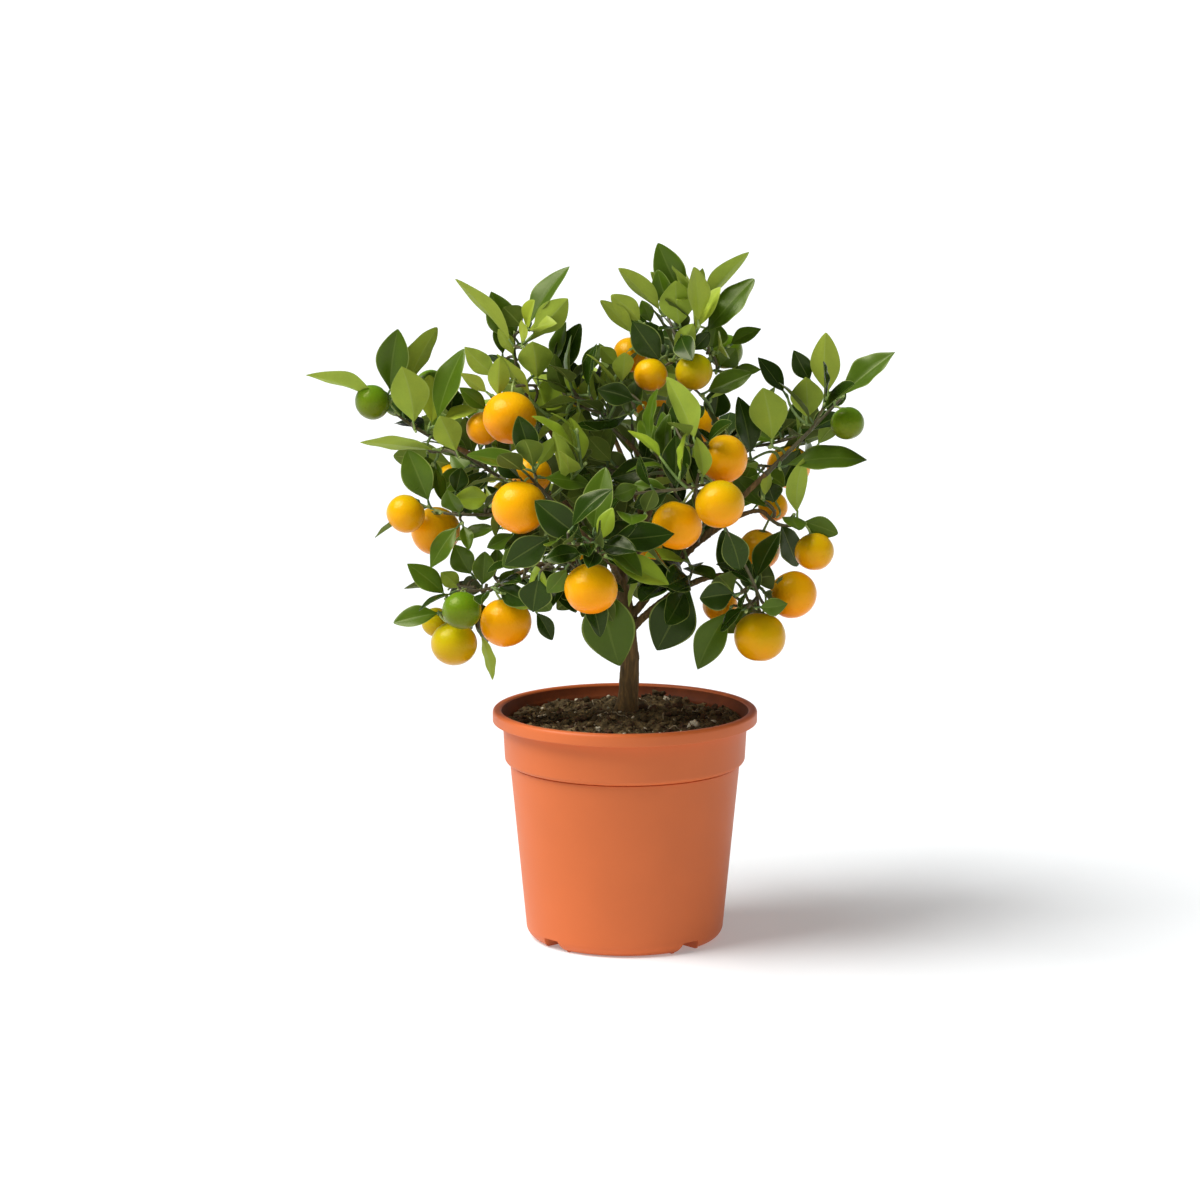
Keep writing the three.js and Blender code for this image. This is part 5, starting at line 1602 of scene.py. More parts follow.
def clods_at(x, y, size, layer):
    """Uneven clods of about `size`, each between 0 at its edge and 1 at its top."""
    place = Vector((x / size, y / size, layer))
    push = [noise.noise(place * CLOD["warp_scale"] + shift) for shift in CLOD_SHIFTS]
    place += Vector(push) * CLOD["warp"]
    apart, centres = noise.voronoi(place)
    usual, spread = CLOD["heights"]
    height = usual + spread * noise.noise(centres[0] * CLOD["dealt_by"])
    return height * (1 - min(apart[0] / CLOD["reach"], 1.0) ** 2)


def soil_relief(x, y):
    """Clods, hollows and crumbs above and below the solid's surface."""
    open_ground = clamp((from_trunk(x, y) - TRUNK["flare_radius"]) / GROUND["opens"], 0, 1)
    scale, layer, swell = GROUND["swell"]
    swell *= noise.noise(Vector((x * scale, y * scale, layer)))
    scale, layer, grit = GROUND["grit"]
    grit *= noise.fractal(Vector((x * scale, y * scale, layer)), *GROUND["octaves"])
    clods = sum(height * clods_at(x, y, size, layer) for size, layer, height in CLODS)
    return mix(GROUND["at_trunk"], swell + clods + grit - GROUND["sunk"], open_ground)


def ground_at(x, y):
    return soil_height(x, y) + soil_relief(x, y)


def soil_radius():
    """Inner radius of the pot's wall at the surface of the soil."""
    low, high = POT["collar_foot_height"] + POT["wall"], POT["height"] - POT["lip_depth"]
    share = min((SOIL["edge_height"] - low) / (high - low), 1)
    return mix(POT["collar_foot_radius"], POT["collar_top_radius"], share) - POT["wall"] - SOIL_EDGE_GAP


def make_soil_bed(colour):
    """The surface as a fine disc, with a skirt and a flat underside."""
    edge, rings = soil_radius(), BED["rings"]
    spin = circle(BED["sides"])
    points = []
    for i in range(1, rings + 1):
        sink = BED["sink"] * max(0, i / rings - BED["sinks_from"]) / (1 - BED["sinks_from"])
        points += [(x, y, ground_at(x, y) - sink) for x, y in spin * (edge * i / rings)]
    low = SOIL["edge_height"] - BED["depth"]
    points += [(x, y, low) for x, y in spin * (edge - BED["foot_inset"])]
    points += [(0, 0, ground_at(0, 0)), (0, 0, low)]
    shape = Shape()
    shape.add(points, skin_faces(rings + 1, BED["sides"], True))
    earth = soil_finish("soil", shade(colour, 0.45), shade(colour, 2.8))
    return seat(shape.piece("soil_bed", [earth], 0), "potting_soil", "soil")


def lump_at(shape, place, size, roll, squash=1.0, finish=0, around=9, down=6):
    """One irregular crumb or stone, its surface in `around` by `down` facets."""
    points, faces = sphere_grid(around, down)
    shift = Vector([roll() * LUMP["shift"] for _ in range(3)])
    scale, share = LUMP["fine"]
    rough = np.array([noise.noise(Vector(p) * LUMP["coarse"] + shift)
                      + share * noise.noise(Vector(p) * scale - shift) for p in points])
    axis = any_way(roll)
    (wide, wider), (deep, deeper), tall = LUMP["stretch"]
    stretch = np.array((wide + wider * roll(), deep + deeper * roll(), tall))
    moved = (points * stretch * (1 + LUMP["rough"] * rough)[:, None]) @ frame_on(axis)
    moved[:, 2] *= squash
    shape.add(moved * size + np.asarray(place), faces, finish)


def scattered(roll, edge):
    """A place on the soil, clear of the trunk."""
    while True:
        x, y = (roll() * 2 - 1) * edge, (roll() * 2 - 1) * edge
        if math.hypot(x, y) < edge and from_trunk(x, y) > TRUNK["flare_radius"] + CLEAR_OF_TRUNK:
            return x, y


def add_chip(shape, roll):
    """A flat chip of bark or straw that lies on the soil at a slant."""
    x, y = scattered(roll, soil_radius() - CHIPS["edge"])
    turn, tip = roll() * 2 * math.pi, (roll() - 0.5) * CHIPS["tip"]
    way = np.array((math.cos(turn), math.sin(turn), tip))
    length = between(CHIPS["lengths"], roll()) / 2
    centre = np.array((x, y, ground_at(x, y) + CHIPS["raised"]))
    centres = [centre + way * length * at for at in CHIPS["rings"]]
    radius = between(CHIPS["radii"], roll())
    least, more = CHIPS["uneven"]
    radii = [radius * (least + more * roll()) for _ in centres]
    thin, wide = CHIPS["flat"]
    flat = lambda i, turns: thin + wide * np.abs(np.cos(turns))
    add_tube(shape, centres, radii, CHIPS["sides"], 2 + int(roll() * 2), flat)


def make_soil_crumbs(colour, count):
    roll = dice(SEEDS["crumbs"])
    shape = Shape()
    least, more = CRUMBS["sizes"]
    for i in range(count):
        x, y = scattered(roll, soil_radius() - CRUMBS["edge"])
        size = least + more * roll() ** 3
        place = (x, y, ground_at(x, y) + size * CRUMBS["raised"])
        lump_at(shape, place, size, roll, CRUMBS["squash"], i % 3)
    for _ in range(CHIPS["count"]):
        add_chip(shape, roll)
    finishes = [
        soil_finish("crumb dark", shade(colour, 0.4), shade(colour, 1.8), 420),
        soil_finish("crumb brown", shade(colour, 0.8), shade(colour, 3.6), 380),
        soil_finish("crumb bark", (0.060, 0.032, 0.016), (0.22, 0.12, 0.06), 340),
        soil_finish("crumb straw", (0.11, 0.08, 0.04), (0.34, 0.26, 0.14), 340),
    ]
    return seat(shape.piece("soil_crumbs", finishes, 0), "potting_soil", "soil")


def make_perlite(count):
    roll = dice(SEEDS["perlite"])
    shape = Shape()
    squash = PERLITE["squash"]
    for x, y, size in STONES:
        place = (x, y, ground_at(x, y) + size * PERLITE["stone_raised"])
        lump_at(shape, place, size, roll, squash, 0, *PERLITE["fine"])
    least, more = PERLITE["sizes"]
    for _ in range(count):
        x, y = scattered(roll, soil_radius() - PERLITE["edge"])
        size = least + more * roll() ** 2
        lump_at(shape, (x, y, ground_at(x, y) + size * PERLITE["raised"]), size, roll, squash)
    return seat(shape.piece("soil_perlite", [stone_finish()], 0), "potting_soil", "soil")


def make_fibres(count):
    """Pale root fibres that lie on the soil and dip into it."""
    roll = dice(SEEDS["fibres"])
    shape = Shape()
    shares = np.linspace(0, 1, FIBRES["steps"] + 1)
    for _ in range(count):
        x, y = scattered(roll, soil_radius() - FIBRES["edge"])
        turn = roll() * 2 * math.pi
        length = between(FIBRES["lengths"], roll())
        bend = (roll() - 0.5) * FIBRES["bend"]
        centres = []
        for share in shares:
            heading = turn + bend * share
            at_x, at_y = x + math.cos(heading) * length * share, y + math.sin(heading) * length * share
            arch = math.sin(math.pi * share) * FIBRES["arch"] - FIBRES["sunk"]
            centres.append((at_x, at_y, ground_at(at_x, at_y) + arch))
        radius = FIBRES["radii"][0] + FIBRES["radii"][1] * roll()
        radii = radius * (1 - FIBRES["taper"] * shares)
        add_tube(shape, centres, radii, FIBRES["sides"])
    return seat(shape.piece("root_fibres", [root_finish()]), "potting_soil", "soil")


# Wood.

WOOD = {
    "sides": 16, "spacing": 2.2, "grow": 0.12, "sunk": 0.6, "least_steps": 3, "ease": (0.5, 5),
    "foot_below": 1.5,
}

# Knobs on the trunk: share of its height, how far off its axis, radius and how far it stands out.
TRUNK_KNOBS = (
    (0.42, (4.2, -1.5, 0), 4.0, 0.75), (0.62, (-1.5, -4.4, 0), 2.6, 0.55), (0.24, (-4.4, -2.6, 0), 3.4, 0.45),
)
# Leaf scars on the boughs.
SCARS = {"from": 0.15, "to": 0.98, "every": 9, "radius": 1.7, "height": 0.42}

# Streaks and cracks run upright: scale across, scale along and depth in millimetres.
BARK = {
    "streaks": (0.55, 0.09, 0.34), "octaves": (0.9, 2.1, 4), "cracks": (1.5, 0.28, 0.16),
    "thins_from": 225, "thins_over": 60, "most_thin": 0.55, "foot_over": 2, "foot_least": 0.4,
}


def add_limb(shape, limb):
    """A limb's tube; a bough's root goes a little way into its parent."""
    steps = max(WOOD["least_steps"], math.ceil(limb.length / WOOD["spacing"]))
    shares = np.linspace(0, 1, steps + 1)
    centres = [limb.on_curve(share) for share in shares]
    radii = [limb.radius_at(share) + WOOD["grow"] for share in shares]
    if limb.name != "trunk":
        centres.insert(0, centres[0] - limb.way_at(0) * WOOD["sunk"])
        radii.insert(0, radii[0])
    add_tube(shape, centres, radii, WOOD["sides"])


def knobs_of(limbs):
    """Old leaf scars and knobs: place, radius and how far they stand out."""
    knobs = [(limbs["trunk"].point_at(share) + np.array(off), radius, height)
             for share, off, radius, height in TRUNK_KNOBS]
    roll = dice(SEEDS["scars"])
    for limb in (limbs[name] for name in BOUGHS):
        for share in np.arange(SCARS["from"], SCARS["to"], SCARS["every"] / limb.length):
            scar = limb.point_at(share) + any_way(roll) * limb.radius_at(share)
            knobs.append((scar, SCARS["radius"], SCARS["height"]))
    return knobs


def bark_relief(places, limbs):
    """How far each point of the wood stands out, in millimetres."""
    relief = np.zeros(len(places))
    across, along, streaks = BARK["streaks"]
    fine_across, fine_along, cracks = BARK["cracks"]
    for i, (x, y, z) in enumerate(places):
        streak = noise.fractal(Vector((x * across, y * across, z * along)), *BARK["octaves"])
        crack = noise.noise(Vector((x * fine_across, y * fine_across, z * fine_along)))
        relief[i] = streaks * streak + cracks * crack
    for centre, radius, height in knobs_of(limbs):
        away = ((places - centre) ** 2).sum(1)
        relief += height * np.exp(-away / (radius * radius * 0.5))
    heights = places[:, 2]
    thin = np.clip((heights - BARK["thins_from"]) / BARK["thins_over"], 0, BARK["most_thin"])
    from_foot = (heights - TRUNK["foot"][2]) / BARK["foot_over"] + BARK["foot_least"]
    return relief * (1 - thin) * np.clip(from_foot, 0, 1)


def make_wood(limbs, colour, voxel):
    """Trunk and boughs as one skin, with the bark's relief."""
    shape = Shape()
    for limb in limbs.values():
        add_limb(shape, limb)
    bark = bark_finish(colour)
    wood = shape.piece("wood", [bark], 0)
    remesh = wood.modifiers.new("skin", "REMESH")
    remesh.mode = "VOXEL"
    remesh.voxel_size = voxel * MM
    remesh.use_smooth_shade = True
    ease = wood.modifiers.new("ease", "SMOOTH")
    ease.factor, ease.iterations = WOOD["ease"]
    apply_modifiers(wood)
    places, normals = np.empty((2, len(wood.data.vertices) * 3))
    wood.data.vertices.foreach_get("co", places)
    wood.data.vertices.foreach_get("normal", normals)
    places, normals = places.reshape(-1, 3) / MM, normals.reshape(-1, 3)
    moved = places + normals * bark_relief(places, limbs)[:, None]
    moved[:, 2] = np.maximum(moved[:, 2], TRUNK["foot"][2] - WOOD["foot_below"])
    wood.data.vertices.foreach_set("co", (moved * MM).ravel())
    wood.data.update()
    if not wood.data.materials:
        wood.data.materials.append(bark)
    return seat(wood, "bark", "trunk", *BOUGH_NODES)


# Twigs, stalks and buds.

TWIG_MESH = {
    "least_steps": 4, "spacing": 1.6, "phases": 6, "swell": 0.13, "joints": 0.78, "sharp": 6, "sunk": 0.5,
    "sides": 8,
}
PETIOLE = {
    "length": 4.2, "most": 0.16, "radius": 0.62, "foot": 0.85, "steps": 6, "sides": 6, "along_twig": 0.3,
    "into_blade": 1.25, "pull": 0.55, "end": 0.8,
}
BUDS = {"share": 0.62, "sizes": (0.55, 0.5), "long": 1.5, "off": 0.9, "grid": (8, 6)}
GREEN_TONES = ("fresh", "young")


def twig_is_green(growth, twig):
    return twig is not growth.twigs[0] and twig.tone in GREEN_TONES


def add_twig_mesh(shape, twig, roll, finish):
    """A twig with a swelling at each joint, its root sunk into what carries it."""
    steps = max(TWIG_MESH["least_steps"], math.ceil(twig.length * twig.shown / TWIG_MESH["spacing"]))
    phase = roll() * TWIG_MESH["phases"]
    centres, radii = [], []
    for share in np.linspace(0, twig.shown, steps + 1):
        wave = math.sin(share * twig.length * TWIG_MESH["joints"] + phase)
        centres.append(twig.on_curve(share))
        radii.append(twig.radius_at(share) * (1 + TWIG_MESH["swell"] * max(0.0, wave) ** TWIG_MESH["sharp"]))
    centres.insert(0, centres[0] - twig.way_at(0) * TWIG_MESH["sunk"])
    radii.insert(0, radii[0])
    add_tube(shape, centres, radii, TWIG_MESH["sides"], finish)


def make_twigs(growths, colour_old, colour_young):
    shape = Shape()
    roll = dice(SEEDS["twigs"])
    for growth in growths:
        for twig in growth.wood():
            add_twig_mesh(shape, twig, roll, int(twig_is_green(growth, twig)))
    finishes = [
        twig_finish("twig bark", colour_old, shade(colour_old, 1.7)),
        twig_finish("green twig", colour_young, shade(colour_young, 1.6)),
    ]
    return seat(shape.piece("twigs", finishes), "bark", *MASS_NODES)


def blade_start(leaf):
    """Share of a leaf's length that its stalk takes."""
    return min(PETIOLE["length"] / leaf.length, PETIOLE["most"])


def add_petiole(shape, leaf, finish):
    """The stalk that bends from its twig into the foot of the blade."""
    start = leaf.twig.on_curve(leaf.share)
    out = unit(leaf.along + leaf.twig.way_at(leaf.share) * PETIOLE["along_twig"])
    end = leaf.at(blade_start(leaf) * PETIOLE["into_blade"], 0)
    pull = start + out * size_of(end - start) * PETIOLE["pull"]
    shares = [i / PETIOLE["steps"] for i in range(PETIOLE["steps"] + 1)]
    radii = [mix(PETIOLE["foot"], PETIOLE["radius"], share) for share in shares]
    radii[-1] *= PETIOLE["end"]
    add_tube(shape, [bent(start, pull, end, share) for share in shares], radii, PETIOLE["sides"], finish)


def make_petioles(growths):
    shape = Shape()
    for growth in growths:
        for leaf in growth.leaves:
            add_petiole(shape, leaf, int(leaf.tone in GREEN_TONES))
    finishes = [
        twig_finish("leaf stalk", (0.10, 0.17, 0.045), (0.22, 0.30, 0.10)),
        twig_finish("young leaf stalk", (0.22, 0.33, 0.07), (0.42, 0.50, 0.16)),
    ]
    return seat(shape.piece("leaf_stalks", finishes), "foliage", *MASS_NODES)


def make_buds(growths):
    """Small pale buds in the leaf axils and at the twigs' tips."""
    shape = Shape()
    roll = dice(SEEDS["buds"])
    ball, faces = sphere_grid(*BUDS["grid"])
    least, more = BUDS["sizes"]
    for growth in growths:
        places = [(leaf.twig.on_curve(leaf.share), leaf.along + leaf.twig.way_at(leaf.share))
                  for leaf in growth.leaves]
        places += [(twig.on_curve(twig.shown), twig.way_at(twig.shown)) for twig in growth.wood()]
        for place, way in places:
            if roll() < BUDS["share"]:
                way = unit(way)
                size = least + more * roll()
                stretched = ball * np.array((1, 1, BUDS["long"])) * size
                shape.add(stretched @ frame_on(way) + place + way * (BUDS["off"] + size), faces)
    finish = twig_finish("bud", (0.33, 0.42, 0.12), (0.55, 0.60, 0.26))
    return seat(shape.piece("buds", [finish]), "foliage", *MASS_NODES)


# Leaves.

BLADE = {
    "rows": 21, "run": (0.012, 0.985), "across": (-1, -0.93, -0.62, -0.3, -0.05, 0.05, 0.3, 0.62, 0.93, 1),
    "thick": 0.32, "rib": 0.07, "rib_groove": 0.12, "rib_ridge": 0.36, "rib_fades": 0.75, "vein": 0.05,
    "veins": 7, "vein_lean": 1.5, "base": 1.10, "tips": (0.62, 1.0), "widest": (0.92, 1.10),
    "folds": (0.20, 0.52), "soft_fold": 0.16, "flattens": (1.3, 0.5), "rim_drop": 0.10, "wave": 0.055,
    "waves": (1.2, 1.6), "wave_least": 0.4, "sway": 0.10, "widen": 1.03, "widen_measured": 1.08,
    "sharp_edge": 62, "seed": 1201, "narrows": 1.5, "vein_swell": 0.6, "foot": 0.9,
}
# The waves of a blade's rim count their turns by this, in radians.
WAVE_TURN = 6.28

# Places in the list of a leaf's finishes.
UPPER, UNDER, RIB, BACK_RIB, PAINTED_LIT_MARGIN = range(5)


def blade_faces(rows, columns):
    """Faces of one blade's shell and the finish of each."""
    inner = columns - 2
    upper = lambda i, j: i * columns + j
    middle = columns // 2 - 1

    def lower(i, j):
        if j in (0, columns - 1):
            return upper(i, j)
        return rows * columns + i * inner + j - 1

    foot = rows * columns + rows * inner
    tip = foot + 1
    faces, finish = [], []
    for j in range(columns - 1):
        rim = j in (0, columns - 2)
        # The rim strips take the pale edge finish, painted light at the leaf's edge.
        top_finish = PAINTED_LIT_MARGIN if rim else RIB if j == middle else UPPER
        under_finish = PAINTED_LIT_MARGIN if rim else BACK_RIB if j == middle else UNDER
        for i in range(rows - 1):
            faces.append((upper(i, j), upper(i + 1, j), upper(i + 1, j + 1), upper(i, j + 1)))
            finish.append(top_finish)
            faces.append((lower(i, j), lower(i, j + 1), lower(i + 1, j + 1), lower(i + 1, j)))
            finish.append(under_finish)
        last = rows - 1
        faces += [(foot, upper(0, j), upper(0, j + 1)), (foot, lower(0, j + 1), lower(0, j)),
                  (tip, upper(last, j + 1), upper(last, j)), (tip, lower(last, j), lower(last, j + 1))]
        finish += [top_finish, under_finish, top_finish, under_finish]
    return faces, finish


def blade_points(leaf, roll):
    """Points of one blade: the upper grid, the lower grid without its rims, foot and tip."""
    sharp = between(BLADE["tips"], roll())
    fold = between(BLADE["folds"], roll())
    waves = BLADE["waves"][0] + BLADE["waves"][1] * roll()
    phases = (roll() * WAVE_TURN, roll() * WAVE_TURN)
    wave = BLADE["wave"] * (BLADE["wave_least"] + roll())
    sway = (roll() - 0.5) * BLADE["sway"]
    widest = between(BLADE["widest"], roll())

    run = np.linspace(*BLADE["run"], BLADE["rows"])[:, None]
    across = np.array(BLADE["across"])[None, :]
    off = np.abs(across)
    start = blade_start(leaf)
    share = start + (1 - start) * run
    power = BLADE["base"] + (sharp - BLADE["base"]) * run ** BLADE["narrows"]
    half = 0.5 * leaf.width * leaf.widen * np.sin(math.pi * run ** widest) ** power

    ahead = leaf.length * share * (1 - leaf.curl ** 2 * share ** 2 / 6)
    drop = 0.5 * leaf.curl * share ** 2 * leaf.length
    soft = BLADE["soft_fold"]
    folded = np.sqrt(across * across + soft * soft) - soft
    wavy = np.sin(waves * WAVE_TURN * run + np.where(across < 0, *phases)) * across * across
    most, less = BLADE["flattens"]
    raised = half * (fold * (most - less * run) * folded - BLADE["rim_drop"] * off ** 3 + wave * wavy)
    veins = np.sin(2 * math.pi * (BLADE["veins"] * run - BLADE["vein_lean"] * off))
    relief = BLADE["vein"] * veins * (4 * off * (1 - off)) ** BLADE["vein_swell"]
    aside = across * half + sway * leaf.length * np.sin(math.pi * share)
    middle = (leaf.root + leaf.along * ahead[..., None] + leaf.side * aside[..., None]
              + leaf.face * (raised + relief - drop)[..., None])

    rib = np.exp(-(across / BLADE["rib"]) ** 2) * (1 - BLADE["rib_fades"] * run)
    thick = BLADE["thick"] / 2 * (1 - across ** 4)
    upper = middle + leaf.face * (thick - rib * BLADE["rib_groove"])[..., None]
    lower = (middle - leaf.face * (thick + rib * BLADE["rib_ridge"])[..., None])[:, 1:-1]
    foot, tip = leaf.at(start * BLADE["foot"], 0), leaf.at(1, 0)
    return np.concatenate([upper.reshape(-1, 3), lower.reshape(-1, 3), [foot, tip]])


PALE_GREEN = (0.30, 0.38, 0.09)

# By tone: roughness, specular level, and how far the underside pales.
LEAF_GLOSS = {
    "dark": (0.25, 0.24, 0.20), "mid": (0.30, 0.30, 0.26), "fresh": (0.38, 0.36, 0.33),
    "young": (0.44, 0.36, 0.33),
}


def leaf_finishes(tone, blade):
    """Finishes of one tone of leaf: blade, underside, rib, back of the rib and the pale edge strip, painted
    light at the leaf's rim.
    """
    rough, gloss, pale = LEAF_GLOSS[tone]
    under = mix_colours(blade, PALE_GREEN, pale)
    rib = mix_colours(blade, PALE_GREEN, 0.14)
    # Painted light: the pale green of the edge strip stands in for light showing through the leaf's thin rim.
    painted_lit_margin = mix_colours(blade, PALE_GREEN, 0.48)
    return [
        blade_finish(f"{tone} leaf", blade, rough, gloss),
        blade_finish(f"{tone} leaf underside", under, 0.62, 0.15),
        blade_finish(f"{tone} leaf rib", rib, rough + 0.05, gloss, 0.1),
        blade_finish(f"{tone} leaf back rib", mix_colours(under, PALE_GREEN, 0.4), 0.6, 0.25, 0.1),
        blade_finish(f"{tone} leaf margin", painted_lit_margin, 0.5, 0.3, 0.1),
    ]


def make_leaves(growths, tone, colour):
    faces, finish = blade_faces(BLADE["rows"], len(BLADE["across"]))
    shape = Shape()
    for growth in growths:
        roll = dice(growth.plan["seed"] + BLADE["seed"])
        for leaf in growth.leaves:
            points = blade_points(leaf, roll)
            if leaf.tone == tone:
                shape.add(points, faces, list(finish))
    piece = shape.piece(f"leaves_{tone}", leaf_finishes(tone, colour), BLADE["sharp_edge"])
    return seat(piece, "foliage", *MASS_NODES)


# Fruit.

# Letter of a fruit's ripeness: the peel's name, the colour of its blush and how far that spreads.
RIPENESS = {
    "O": ("ripe peel", (0.92, 0.42, 0.001), 0.4),
    "Y": ("yellow peel", (0.86, 0.40, 0.001), 0.3),
    "L": ("turning peel", (0.62, 0.38, 0.002), 0.2),
    "G": ("green peel", (0.15, 0.25, 0.006), 0.3),
}

GLOBE = {
    "grid": (44, 30), "dimple": (0.10, 0.20), "scar": (0.035, 0.09), "lumps": (1.3, 0.022), "shift": 40,
    "flattened": 0.955,
}
STALK = {"steps": 10, "radius": 0.62, "swell": 0.28, "into": 0.88, "sides": 8}

# The cap's rings as height and width, and its five lobes, which show on the lowest three.
CAP = {
    "rings": ((-0.25, 1.15), (0.1, 1.1), (0.45, 0.8), (0.9, 0.45)), "reach": (0.15, 0.5), "lobes": 5,
    "lobe": 0.34, "lobed": 3, "sides": 20,
}


def add_fruit(shape, fruit, roll):
    """A slightly flattened globe with a dimple at its stalk and a small scar opposite."""
    ball, faces = sphere_grid(*GLOBE["grid"])
    up = ball[:, 2]
    from_axis = np.hypot(ball[:, 0], ball[:, 1])
    dent = lambda deep, wide: deep * np.exp(-(from_axis / wide) ** 2)
    dents = dent(*GLOBE["dimple"]) * (up > 0) + dent(*GLOBE["scar"]) * (up < 0)
    shift = Vector([roll() * GLOBE["shift"] for _ in range(3)])
    scale, height = GLOBE["lumps"]
    lumps = np.array([noise.noise(Vector(p) * scale + shift) for p in ball]) * height
    reach = (1 + lumps - dents)[:, None]
    body = ball * reach * np.array((1, 1, GLOBE["flattened"])) * fruit["radius"]
    finish = list(RIPENESS).index(fruit["ripe"])
    shape.add(body @ frame_on(fruit["towards"]) + fruit["centre"], faces, finish)


def make_fruits(growths, colours):
    shape = Shape()
    roll = dice(SEEDS["fruits"])
    for growth in growths:
        for fruit in growth.fruits:
            add_fruit(shape, fruit, roll)
    finishes = [peel_finish(name, colour, blush, share)
                for (name, blush, share), colour in zip(RIPENESS.values(), colours)]
    return seat(shape.piece("fruits", finishes, 0), "foliage", *MASS_NODES)


def make_stalks(growths):
    """Fruit stalks and the small green cap on each fruit."""
    shape = Shape()
    shares = np.linspace(0, 1, STALK["steps"] + 1)
    radii = STALK["radius"] + STALK["swell"] * shares ** 4
    lobes = lambda i, turns: 1 + (CAP["lobe"] * np.cos(CAP["lobes"] * turns) if i < CAP["lobed"] else 0)
    share, more = CAP["reach"]
    for growth in growths:
        stalks = [twig for twig in growth.twigs if twig.name == "stalk"]
        for stalk, fruit in zip(stalks, growth.fruits):
            axis = fruit["towards"]
            top = fruit["centre"] + axis * fruit["radius"] * STALK["into"]
            centres = [stalk.on_curve(at) for at in shares[:-1]]
            add_tube(shape, [*centres, top], radii, STALK["sides"], 0)
            reach = share * fruit["radius"] + more
            rings = [top + axis * height for height, _ in CAP["rings"]]
            add_tube(shape, rings, [reach * width for _, width in CAP["rings"]], CAP["sides"], 1, lobes)
    finishes = [
        twig_finish("fruit stalk", (0.30, 0.38, 0.11), (0.50, 0.55, 0.22)),
        twig_finish("fruit cap", (0.13, 0.20, 0.05), (0.30, 0.36, 0.14)),
    ]
    return seat(shape.piece("fruit_stalks", finishes), "foliage", *MASS_NODES)


# Stage.

CAMERA = {"place": (-0.01414, -2.400, 0.6212), "pitch": 10.09, "lens": 129.53, "sensor": 36.0, "sees": 100}
FLOOR = {"reach": 60.0, "colour": (0.765, 0.785, 0.79, 1)}
HORIZON = {"band": 0.16, "white": 1.05, "blue": 1.02}
LAMP_AWAY = 2


def make_floor(emission):
    """A white floor that gives off a little light, so that it meets the white background."""
    data = bpy.data.meshes.new("floor")
    corners = [(x * FLOOR["reach"], y * FLOOR["reach"], 0) for x, y in ((-1, -1), (1, -1), (1, 1), (-1, 1))]
    data.from_pydata(corners, [], [(0, 1, 2, 3)])
    finish = Finish("studio floor", 0.9, 0.0)
    finish.look({
        "Base Color": FLOOR["colour"], "Emission Color": (1, 1, 1, 1), "Emission Strength": emission,
    })
    data.materials.append(finish.material)
    placed("floor", data)


def make_world(strength):
    """Even light from above that turns white towards the horizon."""
    world = bpy.data.worlds.new("studio")
    bpy.context.scene.world = world
    world.use_nodes = True
    sky = Nodes(world.node_tree)
    height = sky.height_of(sky.node("ShaderNodeTexCoord").outputs["Generated"])
    light = sky.ramp(height, (HORIZON["band"] * 0.5, [HORIZON["white"]] * 3),
                     (HORIZON["band"], (strength, strength, strength * HORIZON["blue"])))
    sky.put(sky.tree.nodes["Background"].inputs["Color"], light)


def make_lamp(strength, azimuth, elevation, softness):
    """The soft key light; its place only shows where it is in the viewport."""
    data = bpy.data.lights.new("key light", "SUN")
    data.energy = strength
    data.angle = softness
    lamp = placed("key light", data)
    towards = Vector((math.sin(azimuth) * math.cos(elevation), -math.cos(azimuth) * math.cos(elevation),
                      math.sin(elevation)))
    lamp.rotation_euler = towards.to_track_quat("Z", "Y").to_euler()
    lamp.location = towards * LAMP_AWAY


def make_camera():
    data = bpy.data.cameras.new("camera")
    data.lens = CAMERA["lens"]
    data.sensor_width = CAMERA["sensor"]
    data.clip_end = CAMERA["sees"]
    camera = placed("camera", data)
    camera.location = CAMERA["place"]
    camera.rotation_euler = (math.radians(90 - CAMERA["pitch"]), 0, 0)
    bpy.context.scene.camera = camera


# Settings that a user would change.


def colour_setting(name, description, default):
    return FloatVectorProperty(name=name, description=description, default=default, subtype="COLOR",
                               size=3, min=0, max=1)


def number_setting(kind, name, description, default, low, high):
    return kind(name=name, description=description, default=default, min=low, max=high)


def angle_setting(name, description, degrees):
    return FloatProperty(name=name, description=description, default=math.radians(degrees),
                         subtype="ANGLE", unit="ROTATION")


class TreePotSettings(bpy.types.PropertyGroup):
    colour: colour_setting("Plastic colour", "Base colour of the moulded pot", (0.635, 0.145, 0.036))
    sides: number_setting(IntProperty, "Sides", "Facets round the pot", 192, 32, 512)


class TreeSoilSettings(bpy.types.PropertyGroup):
    colour: colour_setting("Soil colour", "Middle brown of the damp soil", (0.150, 0.108, 0.048))
    crumbs: number_setting(IntProperty, "Crumbs", "Loose crumbs on the soil", 1000, 0, 1500)
    stones: number_setting(IntProperty, "Perlite", "Cream granules in the soil", 44, 0, 300)
    fibres: number_setting(IntProperty, "Root fibres", "Pale fibres on the soil", 26, 0, 200)


class TreeWoodSettings(bpy.types.PropertyGroup):
    colour: colour_setting("Bark colour", "Middle brown of the bark", (0.150, 0.080, 0.024))
    old_twig: colour_setting("Old twig colour", "Colour of the woody twigs", (0.098, 0.084, 0.034))
    young_twig: colour_setting("Young twig colour", "Colour of the green twigs", (0.16, 0.24, 0.06))
    voxel: number_setting(FloatProperty, "Bark mesh size", "Width of the mesh's cells in millimetres",
                          0.55, 0.3, 2)


